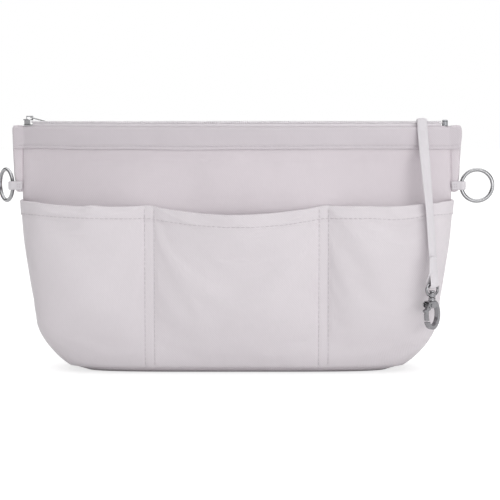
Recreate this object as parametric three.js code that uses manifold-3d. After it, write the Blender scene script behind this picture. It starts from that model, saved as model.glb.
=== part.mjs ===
// Purse organizer insert: a soft zip-top pouch with slip pockets outside and inside,
// a carrying ring on each side and a key strap with a swivel clasp.
// Millimetres, +Z up, front towards -Y, origin at the middle of the base on the surface it stands on.
import * as THREE from "three";
import { mergeVertices } from "three/addons/utils/BufferGeometryUtils.js";
import Module from "manifold-3d";

const wasm = await Module();
wasm.setup();

// Outer form of the pouch
const RIM_HEIGHT = 165;
const BASE_HALF_WIDTH = 103;
const CORNER_REACH = 31.9; // how far a bottom corner sweeps out sideways
const CORNER_HEIGHT = 34;
const CORNER_POWER = 1.5; // 1 is a straight chamfer, 2 an elliptic round
const RIM_HALF_WIDTH = 146; // side seam at the rim, where the zip ends
const MOUTH_FLARE = 0.8; // how much wider the side seams stand at the pocket mouths
const BASE_HALF_DEPTH = 24;
const EDGE_REACH = 10; // how far the bottom edge rounds out to the front and the back
const EDGE_HEIGHT = 16;
const RIM_HALF_DEPTH = 24;
const LEAN_START = 108; // height where the walls begin to lean in
const SECTION_POWER = 4.2; // squareness of the plan below the pinch
const PINCH_START = 84; // height where the sides begin to draw together
const PINCH_END = 140; // height from which they are drawn flat into the side seam
const PINCH_POWER = 1.5; // plan of the pinched sides: 1 is an ellipse, 2 a lens
const POCKET_PINCH_SHARE = 0.6; // the pocket cloth is drawn in less than the wall behind it

// Cloth layers, from the outside in
const LAYER_GAP = 0.3; // clearance between sewn layers
const SHELL_CLOTH = 1;
const FOAM = 2.2;
const LINING_CLOTH = 0.6;
const SEAM_GAP = 0.3; // between the front and the back piece of each layer

// Outer pockets
const POCKET_TOP = 117.5; // at the side seams
const MOUTH_DROP = 5; // how much lower the mouths hang at the stitch lines
const MIDDLE_SAG = 4; // sag of the middle mouth between the stitch lines
const SIDE_SAG = 2; // and of the side mouths
const POCKET_FOOT = 5;
const POCKET_STITCH_X = 58; // the two upright stitch lines
const POCKET_CLOTH = 1;
const MIDDLE_BULGE = 8.5;
const SIDE_BULGE = 9;
const BULGE_RISE = 42; // height above the foot at which a pocket is full
const PILLOW_POWER = 4; // higher is flatter between the stitch lines

// Inner slip pockets, sewn to the lining
const INNER_HALF_WIDTH = 92;
const INNER_FOOT = 24;
const INNER_TOP = 104;
const INNER_CLOTH = 0.7;
const INNER_BULGE = 7;

// Rim hem, side seam and zip
const HEM_DEPTH = 14.5;
const HEM_CLOTH = 1;
const BINDING_THICKNESS = 2.6;
const BINDING_AT_RIM = 6.5; // how far the bound seam stands out at the rim
const BINDING_AT_TAB = 4; // and under the ring tab
const TAPE_BURIED = 8; // zip tape below the rim
const TAPE_ABOVE = 1.8; // zip tape above the rim
const TAPE_CLOTH = 0.6;
const TAPE_END_SHORT = 6.5; // the tapes end this far inside the side seam
const COIL_RADIUS = 1;
const STOP_LENGTH = 3.6;
const STOP_WIDTH = 4.8;
const STOP_HEIGHT = 4.6;
const SLIDER_FROM_SEAM = 3.6; // middle of the slider, from the left side seam
const SLIDER_LENGTH = 6.8;
const SLIDER_WIDTH = 6.6;
const SLIDER_PLATE = 0.8;
const SLIDER_KEEL_WIDTH = 2.2;
const SLIDER_POST = 1.2;
const SLIDER_CLEAR = 0.4; // between the coils and the slider
const BAIL_SPAN = 3.4; // inside the bail
const BAIL_RISE = 1.5;
const BAIL_WIRE = 0.7;
const PULL_LENGTH = 16;
const PULL_WIDTH = 4.2;
const PULL_SLOT_WIDTH = 2.2;
const PULL_THICKNESS = 0.7;
const PULL_DROOP = 15; // degrees below level, into the mouth

// Side rings and their tabs
const TAB_ABOVE_POCKETS = 7.5; // middle of the tab, above the pocket mouths at the side seams
const TAB_WIDTH = 6;
const TAB_CLOTH = 0.9;
const TAB_LOOP_RADIUS = 2.2;
const RING_RADIUS = 10.7; // middle of the wire
const RING_WIRE = 2.6;
const LEFT_RING_TURN = 58; // degrees the left ring has swung to the back

// Key strap
const STRAP_FROM_SEAM = 20.6; // where it comes over the rim, from the right side seam
const STRAP_DRIFT = 5; // how far to the right its loop hangs
const STRAP_WIDTH = 7;
const STRAP_CLOTH = 1.2;
const STRAP_DROP = 103; // from the rim down to the clasp's bar
const STRAP_BEND = 2; // from the rim down to where it swings
const STRAP_INSIDE = 22; // length sewn inside
const STRAP_TURN_TOP = 17; // degrees its face is turned to the right at the rim
const STRAP_TURN_END = 42; // and where it lies on the round of the side pocket
const STRAP_TURN_SHARE = 0.6; // share of the drop over which it turns
const STRAP_TAIL = 9; // the tail sewn back above the loop

// Swivel clasp
const EYE_WIDTH = 10.6; // between the middles of the eye's sides
const EYE_HEIGHT = 7;
const EYE_WIRE = 2;
const COLLAR_RADIUS = 2.4;
const COLLAR_HEIGHT = 3;
const POST_RADIUS = 1;
const POST_HEAD_RADIUS = 1.9;
const POST_HEAD_HEIGHT = 1.2;
const CLASP_CLEAR = 0.3;
const HOOK_HALF_WIDTH = 6.6;
const HOOK_LENGTH = 20;
const HOOK_WALL = 2.3;
const HOOK_THICKNESS = 3.4;
const FORK_THICKNESS = 5.8;
const FORK_CHEEK = 0.8;
const GATE_THICKNESS = 1.2;
const GATE_PIN_RADIUS = 0.5;
const SPRING_COIL_RADIUS = 1;
const SPRING_WIRE_RADIUS = 0.2;
const SPRING_PITCH = 0.85;
const SPRING_TURNS = 2;

// Small maths
const lerp = (a, b, t) => a + (b - a) * t;
const clamp01 = (t) => Math.min(1, Math.max(0, t));
const smooth = (t) => clamp01(t) ** 2 * (3 - 2 * clamp01(t));
const radians = THREE.MathUtils.degToRad;
const range = (n) => Array.from({ length: n + 1 }, (_, i) => i / n);

function bisect(low, high, isLow) {
  for (let i = 0; i < 40; i++) {
    const middle = (low + high) / 2;
    if (isLow(middle)) low = middle;
    else high = middle;
  }
  return (low + high) / 2;
}

const mouthHalfWidth = RIM_HALF_WIDTH + MOUTH_FLARE;

// The wall: a front half-section at each height, followed by arc length from the left side seam to the right
function halfWidth(z) {
  if (z < CORNER_HEIGHT) {
    const left = (1 - z / CORNER_HEIGHT) ** CORNER_POWER;
    return BASE_HALF_WIDTH + CORNER_REACH * (1 - left) ** (1 / CORNER_POWER);
  }
  const belly = BASE_HALF_WIDTH + CORNER_REACH;
  if (z < POCKET_TOP) return lerp(belly, mouthHalfWidth, (z - CORNER_HEIGHT) / (POCKET_TOP - CORNER_HEIGHT));
  return lerp(mouthHalfWidth, RIM_HALF_WIDTH, smooth((z - POCKET_TOP) / (RIM_HEIGHT - POCKET_TOP)));
}

function halfDepth(z) {
  const rounded = Math.sqrt(1 - (1 - Math.min(1, z / EDGE_HEIGHT)) ** 2);
  const body = BASE_HALF_DEPTH + EDGE_REACH * rounded;
  return lerp(body, RIM_HALF_DEPTH, smooth((z - LEAN_START) / (RIM_HEIGHT - LEAN_START)));
}

const pinch = (z) => smooth((z - PINCH_START) / (PINCH_END - PINCH_START));

const SECTION_STEPS = 240;
const sections = new Map();
function section(z, share) {
  const key = `${z.toFixed(4)}/${share}`;
  if (sections.has(key)) return sections.get(key);
  const drawn = pinch(z) * share;
  const powerX = lerp(2 / SECTION_POWER, 1, drawn);
  const powerY = lerp(2 / SECTION_POWER, PINCH_POWER, drawn);
  const points = range(SECTION_STEPS).map((t) => {
    const angle = Math.PI * (1 - t);
    const c = Math.cos(angle);
    const x = halfWidth(z) * Math.sign(c) * Math.abs(c) ** powerX;
    return new THREE.Vector2(x, -halfDepth(z) * Math.max(0, Math.sin(angle)) ** powerY);
  });
  const lengths = [0];
  for (let i = 1; i < points.length; i++) lengths.push(lengths[i - 1] + points[i].distanceTo(points[i - 1]));
  const made = { points, lengths };
  sections.set(key, made);
  return made;
}

function wallPoint(u, z, share = 1) {
  const height = Math.min(RIM_HEIGHT, Math.max(0, z));
  const { points, lengths } = section(height, share);
  const goal = clamp01(u) * lengths[SECTION_STEPS];
  let i = 1;
  while (i < SECTION_STEPS && lengths[i] < goal) i++;
  const t = (goal - lengths[i - 1]) / (lengths[i] - lengths[i - 1]);
  const p = points[i - 1].clone().lerp(points[i], t);
  return new THREE.Vector3(p.x, p.y, z);
}

function wallNormal(u, z, share = 1) {
  const du = 0.004;
  const dz = 0.25;
  const across = wallPoint(Math.min(1, u + du), z, share).sub(wallPoint(Math.max(0, u - du), z, share));
  const low = Math.max(0, Math.min(RIM_HEIGHT, z + dz) - 2 * dz);
  const up = wallPoint(u, low + 2 * dz, share).sub(wallPoint(u, low, share));
  return across.cross(up).normalize();
}

// A point at a depth inside the wall's outer face; a negative depth lies outside it
function layerPoint(u, z, depth, share = 1) {
  return wallPoint(u, z, share).addScaledVector(wallNormal(u, z, share), -depth);
}

// Where along the section a layer reaches the side seam, counted from the left end
function seamStart(z, depths, share = 1) {
  const clear = (u) => depths.every((d) => layerPoint(u, z, d, share).y < -SEAM_GAP / 2);
  return bisect(0, 0.5, (u) => !clear(u));
}

// Where along the section a layer has this x
function stationAt(x, z, depth = 0) {
  return bisect(0, 1, (u) => layerPoint(u, z, depth).x < x);
}

// A closed solid between two faces of a sheet; face(s, t, side) gives side 0 and side 1
function sheetSolid(columns, rows, face) {
  const across = columns.length;
  const positions = [];
  const indices = [];
  for (const side of [0, 1]) {
    for (const t of rows) {
      for (const s of columns) positions.push(...face(s, t, side).toArray());
    }
  }
  const at = (i, j, side) => (side * rows.length + j) * across + i;
  const quad = (a, b, c, d) => indices.push(a, b, c, a, c, d);
  for (let j = 0; j + 1 < rows.length; j++) {
    for (let i = 0; i + 1 < across; i++) {
      quad(at(i, j, 0), at(i + 1, j, 0), at(i + 1, j + 1, 0), at(i, j + 1, 0));
      quad(at(i, j, 1), at(i, j + 1, 1), at(i + 1, j + 1, 1), at(i + 1, j, 1));
    }
    quad(at(0, j, 1), at(0, j, 0), at(0, j + 1, 0), at(0, j + 1, 1));
    quad(at(across - 1, j, 0), at(across - 1, j, 1), at(across - 1, j + 1, 1), at(across - 1, j + 1, 0));
  }
  const top = rows.length - 1;
  for (let i = 0; i + 1 < across; i++) {
    quad(at(i, 0, 1), at(i + 1, 0, 1), at(i + 1, 0, 0), at(i, 0, 0));
    quad(at(i, top, 0), at(i + 1, top, 0), at(i + 1, top, 1), at(i, top, 1));
  }
  return facingOut(positions, indices);
}

// Turns the triangles round if they enclose a negative volume
function facingOut(positions, indices) {
  const p = (i) => new THREE.Vector3().fromArray(positions, 3 * i);
  let volume = 0;
  for (let i = 0; i < indices.length; i += 3) {
    volume += p(indices[i]).dot(p(indices[i + 1]).cross(p(indices[i + 2])));
  }
  if (volume < 0) {
    for (let i = 0; i < indices.length; i += 3) {
      [indices[i + 1], indices[i + 2]] = [indices[i + 2], indices[i + 1]];
    }
  }
  const geometry = new THREE.BufferGeometry();
  geometry.setAttribute("position", new THREE.Float32BufferAttribute(positions, 3));
  geometry.setIndex(indices);
  geometry.computeVertexNormals();
  return geometry;
}

// The same piece on the back wall
function backOf(geometry) {
  const positions = Array.from(geometry.getAttribute("position").array);
  for (let i = 1; i < positions.length; i += 3) positions[i] = -positions[i];
  return facingOut(positions, Array.from(geometry.index.array));
}

// A ribbon along a centre line, with the direction of its width at each point
function ribbon(points, widths, width, thickness) {
  const last = points.length - 1;
  const corner = (s, t, side) => {
    const i = Math.round(t * last);
    const tangent = points[Math.min(last, i + 1)].clone().sub(points[Math.max(0, i - 1)]).normalize();
    const normal = tangent.clone().cross(widths[i]).normalize();
    return points[i]
      .clone()
      .addScaledVector(widths[i], (s - 0.5) * width)
      .addScaledVector(normal, (side - 0.5) * thickness);
  };
  return sheetSolid([0, 1], range(last), corner);
}

// Booleans
function toSolid(geometry, matrix = new THREE.Matrix4()) {
  const bare = geometry.index ? geometry.toNonIndexed() : geometry.clone();
  bare.deleteAttribute("normal");
  bare.deleteAttribute("uv");
  const merged = mergeVertices(bare.applyMatrix4(matrix), 1e-4);
  const mesh = new wasm.Mesh({
    numProp: 3,
    vertProperties: merged.getAttribute("position").array,
    triVerts: new Uint32Array(merged.index.array),
  });
  return new wasm.Manifold(mesh);
}

function toGeometry(solid) {
  const mesh = solid.getMesh();
  const geometry = new THREE.BufferGeometry();
  geometry.setAttribute("position", new THREE.BufferAttribute(mesh.vertProperties, 3));
  geometry.setIndex(new THREE.BufferAttribute(mesh.triVerts, 1));
  geometry.computeVertexNormals();
  return geometry;
}

const moved = (x, y, z) => new THREE.Matrix4().makeTranslation(x, y, z);
const box = (w, d, h, x, y, z) => toSolid(new THREE.BoxGeometry(w, d, h), moved(x, y, z));

const ROUND_SIDES = 14;
function upright(radius, bottom, top, x = 0, y = 0) {
  const turned = new THREE.CylinderGeometry(radius, radius, top - bottom, ROUND_SIDES).rotateX(Math.PI / 2);
  return toSolid(turned, moved(x, y, (bottom + top) / 2));
}

// A pin or bore along Y
function crosswise(radius, length, x, y, z) {
  return toSolid(new THREE.CylinderGeometry(radius, radius, length, ROUND_SIDES), moved(x, y, z));
}

// An outline in X and Z, given thickness along Y
function plate(shape, thickness, y = 0) {
  const flat = new THREE.ExtrudeGeometry(shape, { depth: thickness, bevelEnabled: false, curveSegments: 10 });
  return toSolid(flat.rotateX(Math.PI / 2), moved(0, y + thickness / 2, 0));
}

// Materials
const cloth = new THREE.MeshStandardMaterial({ color: 0xd8d0d5, roughness: 0.85 });
const hemCloth = new THREE.MeshStandardMaterial({ color: 0xccc5ca, roughness: 0.85 });
const liningCloth = new THREE.MeshStandardMaterial({ color: 0xcdc7cb, roughness: 0.8 });
const foam = new THREE.MeshStandardMaterial({ color: 0xe6e6e4, roughness: 1 });
const board = new THREE.MeshStandardMaterial({ color: 0x8c8a88, roughness: 0.9 });
const zipCloth = new THREE.MeshStandardMaterial({ color: 0xcfc9cd, roughness: 0.9 });
const zipCoil = new THREE.MeshStandardMaterial({ color: 0xa7a4a8, roughness: 0.5 });
const webbing = new THREE.MeshStandardMaterial({ color: 0xdcd6da, roughness: 0.9 });
const nickel = new THREE.MeshStandardMaterial({ color: 0xc4c5c6, roughness: 0.25, metalness: 1 });
const steel = new THREE.MeshStandardMaterial({ color: 0x9a9c9e, roughness: 0.35, metalness: 1 });

const organizer = new THREE.Group();
function add(name, geometry, material, parent = organizer) {
  const mesh = new THREE.Mesh(geometry, material);
  mesh.name = name;
  parent.add(mesh);
  return mesh;
}

// Wall layers share one grid of heights and stations, so that their facets stay parallel
const foamDepth = SHELL_CLOTH + LAYER_GAP;
const liningDepth = foamDepth + FOAM + LAYER_GAP;
const liningFace = liningDepth + LINING_CLOTH;
const foamTop = RIM_HEIGHT - TAPE_BURIED - LAYER_GAP;
const hemFoot = RIM_HEIGHT - HEM_DEPTH;

const POCKET_ROWS = [0, 0.06, 0.15, 0.27, 0.43, 0.6, 0.8, 1].map((t) => lerp(POCKET_FOOT, POCKET_TOP, t));
const tabHeight = POCKET_TOP + TAB_ABOVE_POCKETS;
const tabBottom = tabHeight - TAB_WIDTH / 2;
const tabTop = tabHeight + TAB_WIDTH / 2;
const WALL_ROWS = [0, ...POCKET_ROWS, tabTop, (tabTop + hemFoot) / 2, hemFoot, foamTop, RIM_HEIGHT];
const STATIONS = 20;
const END_CROWDING = 0.8; // share by which the stations crowd towards the side seams
function station(k, start) {
  const t = k / STATIONS;
  const u = lerp(t, (1 - Math.cos(Math.PI * t)) / 2, END_CROWDING);
  const least = start + 0.002 * k;
  const most = 1 - start - 0.002 * (STATIONS - k);
  return Math.min(most, Math.max(least, u));
}
const ALL_STATIONS = range(STATIONS).map((t) => Math.round(t * STATIONS));

function wallLayer(outer, inner, rows) {
  const starts = new Map(rows.map((z) => [z, seamStart(z, [outer, inner])]));
  return sheetSolid(ALL_STATIONS, rows, (k, z, side) => {
    return layerPoint(station(k, starts.get(z)), z, side ? inner : outer);
  });
}

const frontShell = wallLayer(0, SHELL_CLOTH, WALL_ROWS);
add("front_shell", frontShell, cloth);
add("back_shell", backOf(frontShell), cloth);
const frontFoam = wallLayer(foamDepth, foamDepth + FOAM, WALL_ROWS.slice(0, -1));
add("front_foam", frontFoam, foam);
add("back_foam", backOf(frontFoam), foam);
const frontLining = wallLayer(liningDepth, liningFace, WALL_ROWS);
add("front_lining", frontLining, liningCloth);
add("back_lining", backOf(frontLining), liningCloth);

// Base layers: the foot of the wall layer at the same depth, drawn in by the clearance
function baseLayer(depth, thickness) {
  const foot = ALL_STATIONS.map((k) => layerPoint(station(k, 0), 0, depth + thickness));
  const clear = (size) => 1 - (2 * LAYER_GAP) / size;
  const half = foot.map((p) => new THREE.Vector2(p.x * clear(BASE_HALF_WIDTH), p.y * clear(BASE_HALF_DEPTH)));
  const shape = new THREE.Shape([...half.slice(0, -1), ...half.slice(0, -1).map((p) => p.clone().negate())]);
  const flat = new THREE.ExtrudeGeometry(shape, { depth: thickness, bevelEnabled: false });
  return toGeometry(toSolid(flat, moved(0, 0, depth)));
}
add("base_panel", baseLayer(0, SHELL_CLOTH), cloth);
add("base_board", baseLayer(foamDepth, FOAM), board);
add("base_lining", baseLayer(liningDepth, LINING_CLOTH), liningCloth);

// Outer pockets: one cloth, drawn to the wall at its edges and at the stitch lines, full between them
const pillow = (local) => 1 - Math.abs(2 * local - 1) ** PILLOW_POWER;

function pocketPoint(pocket, local, z, lift) {
  const start = seamStart(z, [-2 * LAYER_GAP - POCKET_CLOTH]);
  const edges = [start, stationAt(-POCKET_STITCH_X, z), stationAt(POCKET_STITCH_X, z), 1 - start];
  const u = lerp(edges[pocket], edges[pocket + 1], local);
  const bulge = (pocket === 1 ? MIDDLE_BULGE : SIDE_BULGE) * smooth((z - POCKET_FOOT) / BULGE_RISE);
  const off = 2 * LAYER_GAP + lift;
  const sewn = layerPoint(u, z, -off);
  const full = layerPoint(u, z, -off, POCKET_PINCH_SHARE);
  full.y -= bulge;
  const p = sewn.lerp(full, pillow(local));
  p.z = Math.min(p.z, POCKET_TOP);
  p.y = Math.min(p.y, -SEAM_GAP / 2);
  return p;
}

// Height of a pocket's mouth: it falls from the side seams to the stitch lines and sags in between
function mouthHeight(pocket, local) {
  const sag = 4 * local * (1 - local);
  if (pocket === 1) return POCKET_TOP - MOUTH_DROP - MIDDLE_SAG * sag;
  const fromSeam = pocket === 0 ? local : 1 - local;
  return POCKET_TOP - MOUTH_DROP * fromSeam - SIDE_SAG * sag;
}

// The rows follow the mouth near the top and stay level near the foot
function pocketRow(pocket, local, z) {
  const risen = (z - POCKET_FOOT) / (POCKET_TOP - POCKET_FOOT);
  return z - (POCKET_TOP - mouthHeight(pocket, local)) * risen ** 3;
}

const SIDE_COLUMNS = [0, 0.03, 0.08, 0.15, 0.25, 0.39, 0.55, 0.7, 0.86]; // crowded towards the side seam
const MIDDLE_COLUMNS = range(8).slice(0, -1);
function pocketCloth() {
  const right = SIDE_COLUMNS.map((t) => 1 - t).reverse();
  const columns = [
    ...SIDE_COLUMNS.map((local) => [0, local]),
    ...MIDDLE_COLUMNS.map((local) => [1, local]),
    ...[0, ...right].map((local) => [2, local]),
  ];
  return sheetSolid(columns, POCKET_ROWS, ([pocket, local], z, side) => {
    return pocketPoint(pocket, local, pocketRow(pocket, local, z), side ? 0 : POCKET_CLOTH);
  });
}
const frontPockets = pocketCloth();
add("front_pockets", frontPockets, cloth);
add("back_pockets", backOf(frontPockets), cloth);

// Inner slip pockets: two pockets side by side, stitched down the middle
const INNER_COLUMNS = 8;
function innerPocketCloth() {
  const rows = [0, 0.12, 0.3, 0.6, 1].map((t) => lerp(INNER_FOOT, INNER_TOP, t));
  return sheetSolid(range(2 * INNER_COLUMNS), rows, (s, z, side) => {
    const pocket = Math.min(1, Math.floor(s * 2 + 1e-9));
    const edges = [-INNER_HALF_WIDTH, 0, INNER_HALF_WIDTH].map((x) => stationAt(x, z));
    const local = s * 2 - pocket;
    const rise = smooth((z - INNER_FOOT) / BULGE_RISE);
    const depth = liningFace + 3 * LAYER_GAP + INNER_BULGE * pillow(local) * rise + (side ? INNER_CLOTH : 0);
    return layerPoint(lerp(edges[pocket], edges[pocket + 1], local), z, depth);
  });
}
const frontInner = innerPocketCloth();
add("front_inner_pockets", frontInner, liningCloth);
add("back_inner_pockets", backOf(frontInner), liningCloth);

// Bound side seams, from under the ring tab up to the rim
const bindingFace = BINDING_THICKNESS / 2;
function bindingEdge(z) {
  const risen = clamp01((z - tabTop) / (RIM_HEIGHT - tabTop));
  return halfWidth(z) + lerp(BINDING_AT_TAB, BINDING_AT_RIM, Math.sqrt(risen));
}
function sideBinding(side) {
  const rise = range(5).map((t) => lerp(tabTop, RIM_HEIGHT, t * t));
  return sheetSolid([0, 1], [tabBottom, ...rise], (s, z, face) => {
    const x = lerp(halfWidth(z) + LAYER_GAP, bindingEdge(z), s);
    return new THREE.Vector3(side * x, (face - 0.5) * BINDING_THICKNESS, z);
  });
}

// Where a cloth laid over the wall, this far off it, meets the face of the bound seam
function bindingMeets(z, off) {
  return bisect(0, 0.5, (u) => layerPoint(u, z, -off).y > -bindingFace - off);
}

// Rim hems: a band over the wall that runs on over the bound seams to the corners
function hemPoint(k, z, lift) {
  const off = LAYER_GAP + lift;
  const start = bindingMeets(z, off);
  const p = layerPoint(station(Math.min(STATIONS, Math.max(0, k)), start), z, -off);
  if (k < 0) p.x = -bindingEdge(z);
  if (k > STATIONS) p.x = bindingEdge(z);
  return p.setZ(z);
}
function hemBand() {
  const rows = [hemFoot, foamTop, RIM_HEIGHT];
  return sheetSolid([-1, ...ALL_STATIONS, STATIONS + 1], rows, (k, z, side) => hemPoint(k, z, side ? 0 : HEM_CLOTH));
}
const frontHem = hemBand();
add("front_hem", frontHem, hemCloth);
add("back_hem", backOf(frontHem), hemCloth);

// Zip: each tape is sewn inside its shell and stands above the rim, with the coil along its edge
const tapeDepth = SHELL_CLOTH + LAYER_GAP;
const tapeEndX = RIM_HALF_WIDTH - TAPE_END_SHORT;
function zipTape() {
  const rows = [RIM_HEIGHT - TAPE_BURIED, RIM_HEIGHT, RIM_HEIGHT + TAPE_ABOVE];
  return sheetSolid(ALL_STATIONS, rows, (k, z, side) => {
    const wallZ = Math.min(z, RIM_HEIGHT);
    const depth = tapeDepth + (side ? TAPE_CLOTH : 0);
    return layerPoint(station(k, stationAt(-tapeEndX, wallZ)), wallZ, depth).setZ(z);
  });
}
const frontTape = zipTape();
add("zip_tape_front", frontTape, zipCloth);
add("zip_tape_back", backOf(frontTape), zipCloth);

const coilZ = RIM_HEIGHT + TAPE_ABOVE + LAYER_GAP + COIL_RADIUS;
const coilDepth = tapeDepth + TAPE_CLOTH / 2;
const coilApart = COIL_RADIUS + SLIDER_POST / 2 + SLIDER_CLEAR; // from the middle plane, at the ends
const coilStart = bisect(0, 0.3, (u) => layerPoint(u, RIM_HEIGHT, coilDepth).y > -coilApart);
function coilPoint(s) {
  return layerPoint(lerp(coilStart, 1 - coilStart, s), RIM_HEIGHT, coilDepth).setZ(coilZ);
}
const COIL_SIDES = 6;
const COIL_STEPS = 36;
const roundPoint = (radius, a) => new THREE.Vector2(radius * Math.cos(a), radius * Math.sin(a));
function roundShape(radius, sides) {
  return new THREE.Shape(range(sides).slice(0, -1).map((t) => roundPoint(radius, 2 * Math.PI * t)));
}
function tube(pointAt, radius, sides, steps) {
  const line = new THREE.CatmullRomCurve3(range(steps).map(pointAt));
  const swept = new THREE.ExtrudeGeometry(roundShape(radius, sides), { steps, extrudePath: line });
  return toGeometry(toSolid(swept));
}
const frontCoil = tube(coilPoint, COIL_RADIUS, COIL_SIDES, COIL_STEPS);
add("zip_coil_front", frontCoil, zipCoil);
add("zip_coil_back", backOf(frontCoil), zipCoil);

// Zip end stop, past the right ends of the coils
const stopX = coilPoint(1).x + SLIDER_CLEAR + STOP_LENGTH / 2;
const stopZ = RIM_HEIGHT + LAYER_GAP + STOP_HEIGHT / 2;
add("zip_end_stop", new THREE.BoxGeometry(STOP_LENGTH, STOP_WIDTH, STOP_HEIGHT).translate(stopX, 0, stopZ), steel);

// Slider: a plate above the coils and a keel below them, joined by a post, with a bail on top
const slider = new THREE.Group();
slider.position.set(SLIDER_FROM_SEAM - RIM_HALF_WIDTH, 0, coilZ);
organizer.add(slider);
const channel = COIL_RADIUS + SLIDER_CLEAR;
const plateTop = channel + SLIDER_PLATE;
const bailRight = SLIDER_LENGTH / 2;
const bailLeft = bailRight - BAIL_SPAN - 2 * BAIL_WIRE;
function roundedBar(length, width, bottom, thickness) {
  const end = Math.min(length, width) / 2.5;
  const shape = new THREE.Shape();
  shape.moveTo(-length / 2 + end, -width / 2);
  shape.lineTo(length / 2 - end, -width / 2);
  shape.quadraticCurveTo(length / 2, -width / 2, length / 2, 0);
  shape.quadraticCurveTo(length / 2, width / 2, length / 2 - end, width / 2);
  shape.lineTo(-length / 2 + end, width / 2);
  shape.quadraticCurveTo(-length / 2, width / 2, -length / 2, 0);
  shape.quadraticCurveTo(-length / 2, -width / 2, -length / 2 + end, -width / 2);
  const flat = new THREE.ExtrudeGeometry(shape, { depth: thickness, bevelEnabled: false, curveSegments: 4 });
  return toSolid(flat, moved(0, 0, bottom));
}
function sliderBody() {
  const upper = roundedBar(SLIDER_LENGTH, SLIDER_WIDTH, channel, SLIDER_PLATE);
  const keel = box(SLIDER_LENGTH * 0.9, SLIDER_KEEL_WIDTH, SLIDER_PLATE, 0, 0, -channel - SLIDER_PLATE / 2);
  const postLength = SLIDER_LENGTH * 0.6;
  const post = box(postLength, SLIDER_POST, 2 * channel + SLIDER_PLATE, -postLength / 6, 0, 0);
  const rise = BAIL_RISE + BAIL_WIRE;
  const middle = (bailLeft + bailRight) / 2;
  const sunk = SLIDER_PLATE / 2;
  const arch = box(bailRight - bailLeft, BAIL_WIRE, rise + sunk, middle, 0, plateTop + (rise - sunk) / 2);
  const under = box(BAIL_SPAN, 2 * BAIL_WIRE, BAIL_RISE, middle, 0, plateTop + BAIL_RISE / 2);
  return toGeometry(upper.add(keel).add(post).add(arch.subtract(under)));
}
add("zip_slider", sliderBody(), nickel, slider);

// Pull: a plate whose end bar lies under the bail
const pullBarX = bailRight - BAIL_WIRE - LAYER_GAP - PULL_THICKNESS / 2;
const pullBarZ = plateTop + BAIL_RISE / 2 + 0.25;
const pull = new THREE.Group();
pull.position.set(pullBarX, 0, pullBarZ);
pull.rotation.y = radians(PULL_DROOP);
slider.add(pull);
function pullPlate() {
  const bar = PULL_THICKNESS / 2;
  const slot = BAIL_SPAN + BAIL_WIRE;
  const half = PULL_WIDTH / 2;
  const shape = new THREE.Shape();
  shape.moveTo(-bar, -half);
  shape.lineTo(PULL_LENGTH - half, -half);
  shape.absarc(PULL_LENGTH - half, 0, half, -Math.PI / 2, Math.PI / 2, false);
  shape.lineTo(-bar, half);
  const hole = new THREE.Path();
  hole.moveTo(bar, -PULL_SLOT_WIDTH / 2);
  hole.lineTo(bar, PULL_SLOT_WIDTH / 2);
  hole.lineTo(bar + slot, PULL_SLOT_WIDTH / 2);
  hole.lineTo(bar + slot, -PULL_SLOT_WIDTH / 2);
  shape.holes.push(hole);
  const flat = new THREE.ExtrudeGeometry(shape, { depth: PULL_THICKNESS, bevelEnabled: false, curveSegments: 8 });
  return flat.translate(0, 0, -PULL_THICKNESS / 2);
}
add("zip_pull", pullPlate(), nickel, pull);

// Ring tabs: a short strip from one face of the bound seam, round the ring wire and back to the other face
const ringAxisX = halfWidth(tabHeight) + BINDING_AT_TAB + 2 * LAYER_GAP + TAB_LOOP_RADIUS;
const LOOP_STEPS = 14;
function tabPath(z, lift) {
  const off = 2 * LAYER_GAP + lift;
  const root = layerPoint(1 - bindingMeets(z, off), z, -off).setZ(z);
  const radius = TAB_LOOP_RADIUS + lift;
  const open = Math.PI - Math.asin((bindingFace + off) / radius);
  const loop = range(LOOP_STEPS).map((t) => {
    const a = lerp(-open, open, t);
    return new THREE.Vector3(ringAxisX + radius * Math.cos(a), radius * Math.sin(a), z);
  });
  return [root, ...loop, new THREE.Vector3(root.x, -root.y, z)];
}
function ringTab(side) {
  const rows = [tabBottom, tabTop];
  const paths = new Map(rows.map((z) => [z, [tabPath(z, 0), tabPath(z, TAB_CLOTH)]]));
  const count = paths.get(tabBottom)[0].length;
  const columns = Array.from({ length: count }, (_, i) => i);
  return sheetSolid(columns, rows, (i, z, face) => {
    const p = paths.get(z)[face][i];
    return new THREE.Vector3(side * p.x, p.y, z);
  });
}
for (const [word, side] of [["left", -1], ["right", 1]]) {
  add(`side_binding_${word}`, sideBinding(side), cloth);
  add(`ring_tab_${word}`, ringTab(side), webbing);
  const ring = new THREE.TorusGeometry(RING_RADIUS, RING_WIRE / 2, 8, 32).rotateX(Math.PI / 2);
  const turn = side < 0 ? radians(-LEFT_RING_TURN) : 0;
  const hung = ring.translate(side * RING_RADIUS, 0, 0).rotateZ(turn);
  add(`ring_${word}`, toGeometry(toSolid(hung, moved(side * ringAxisX, 0, tabHeight))), nickel);
}

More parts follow.
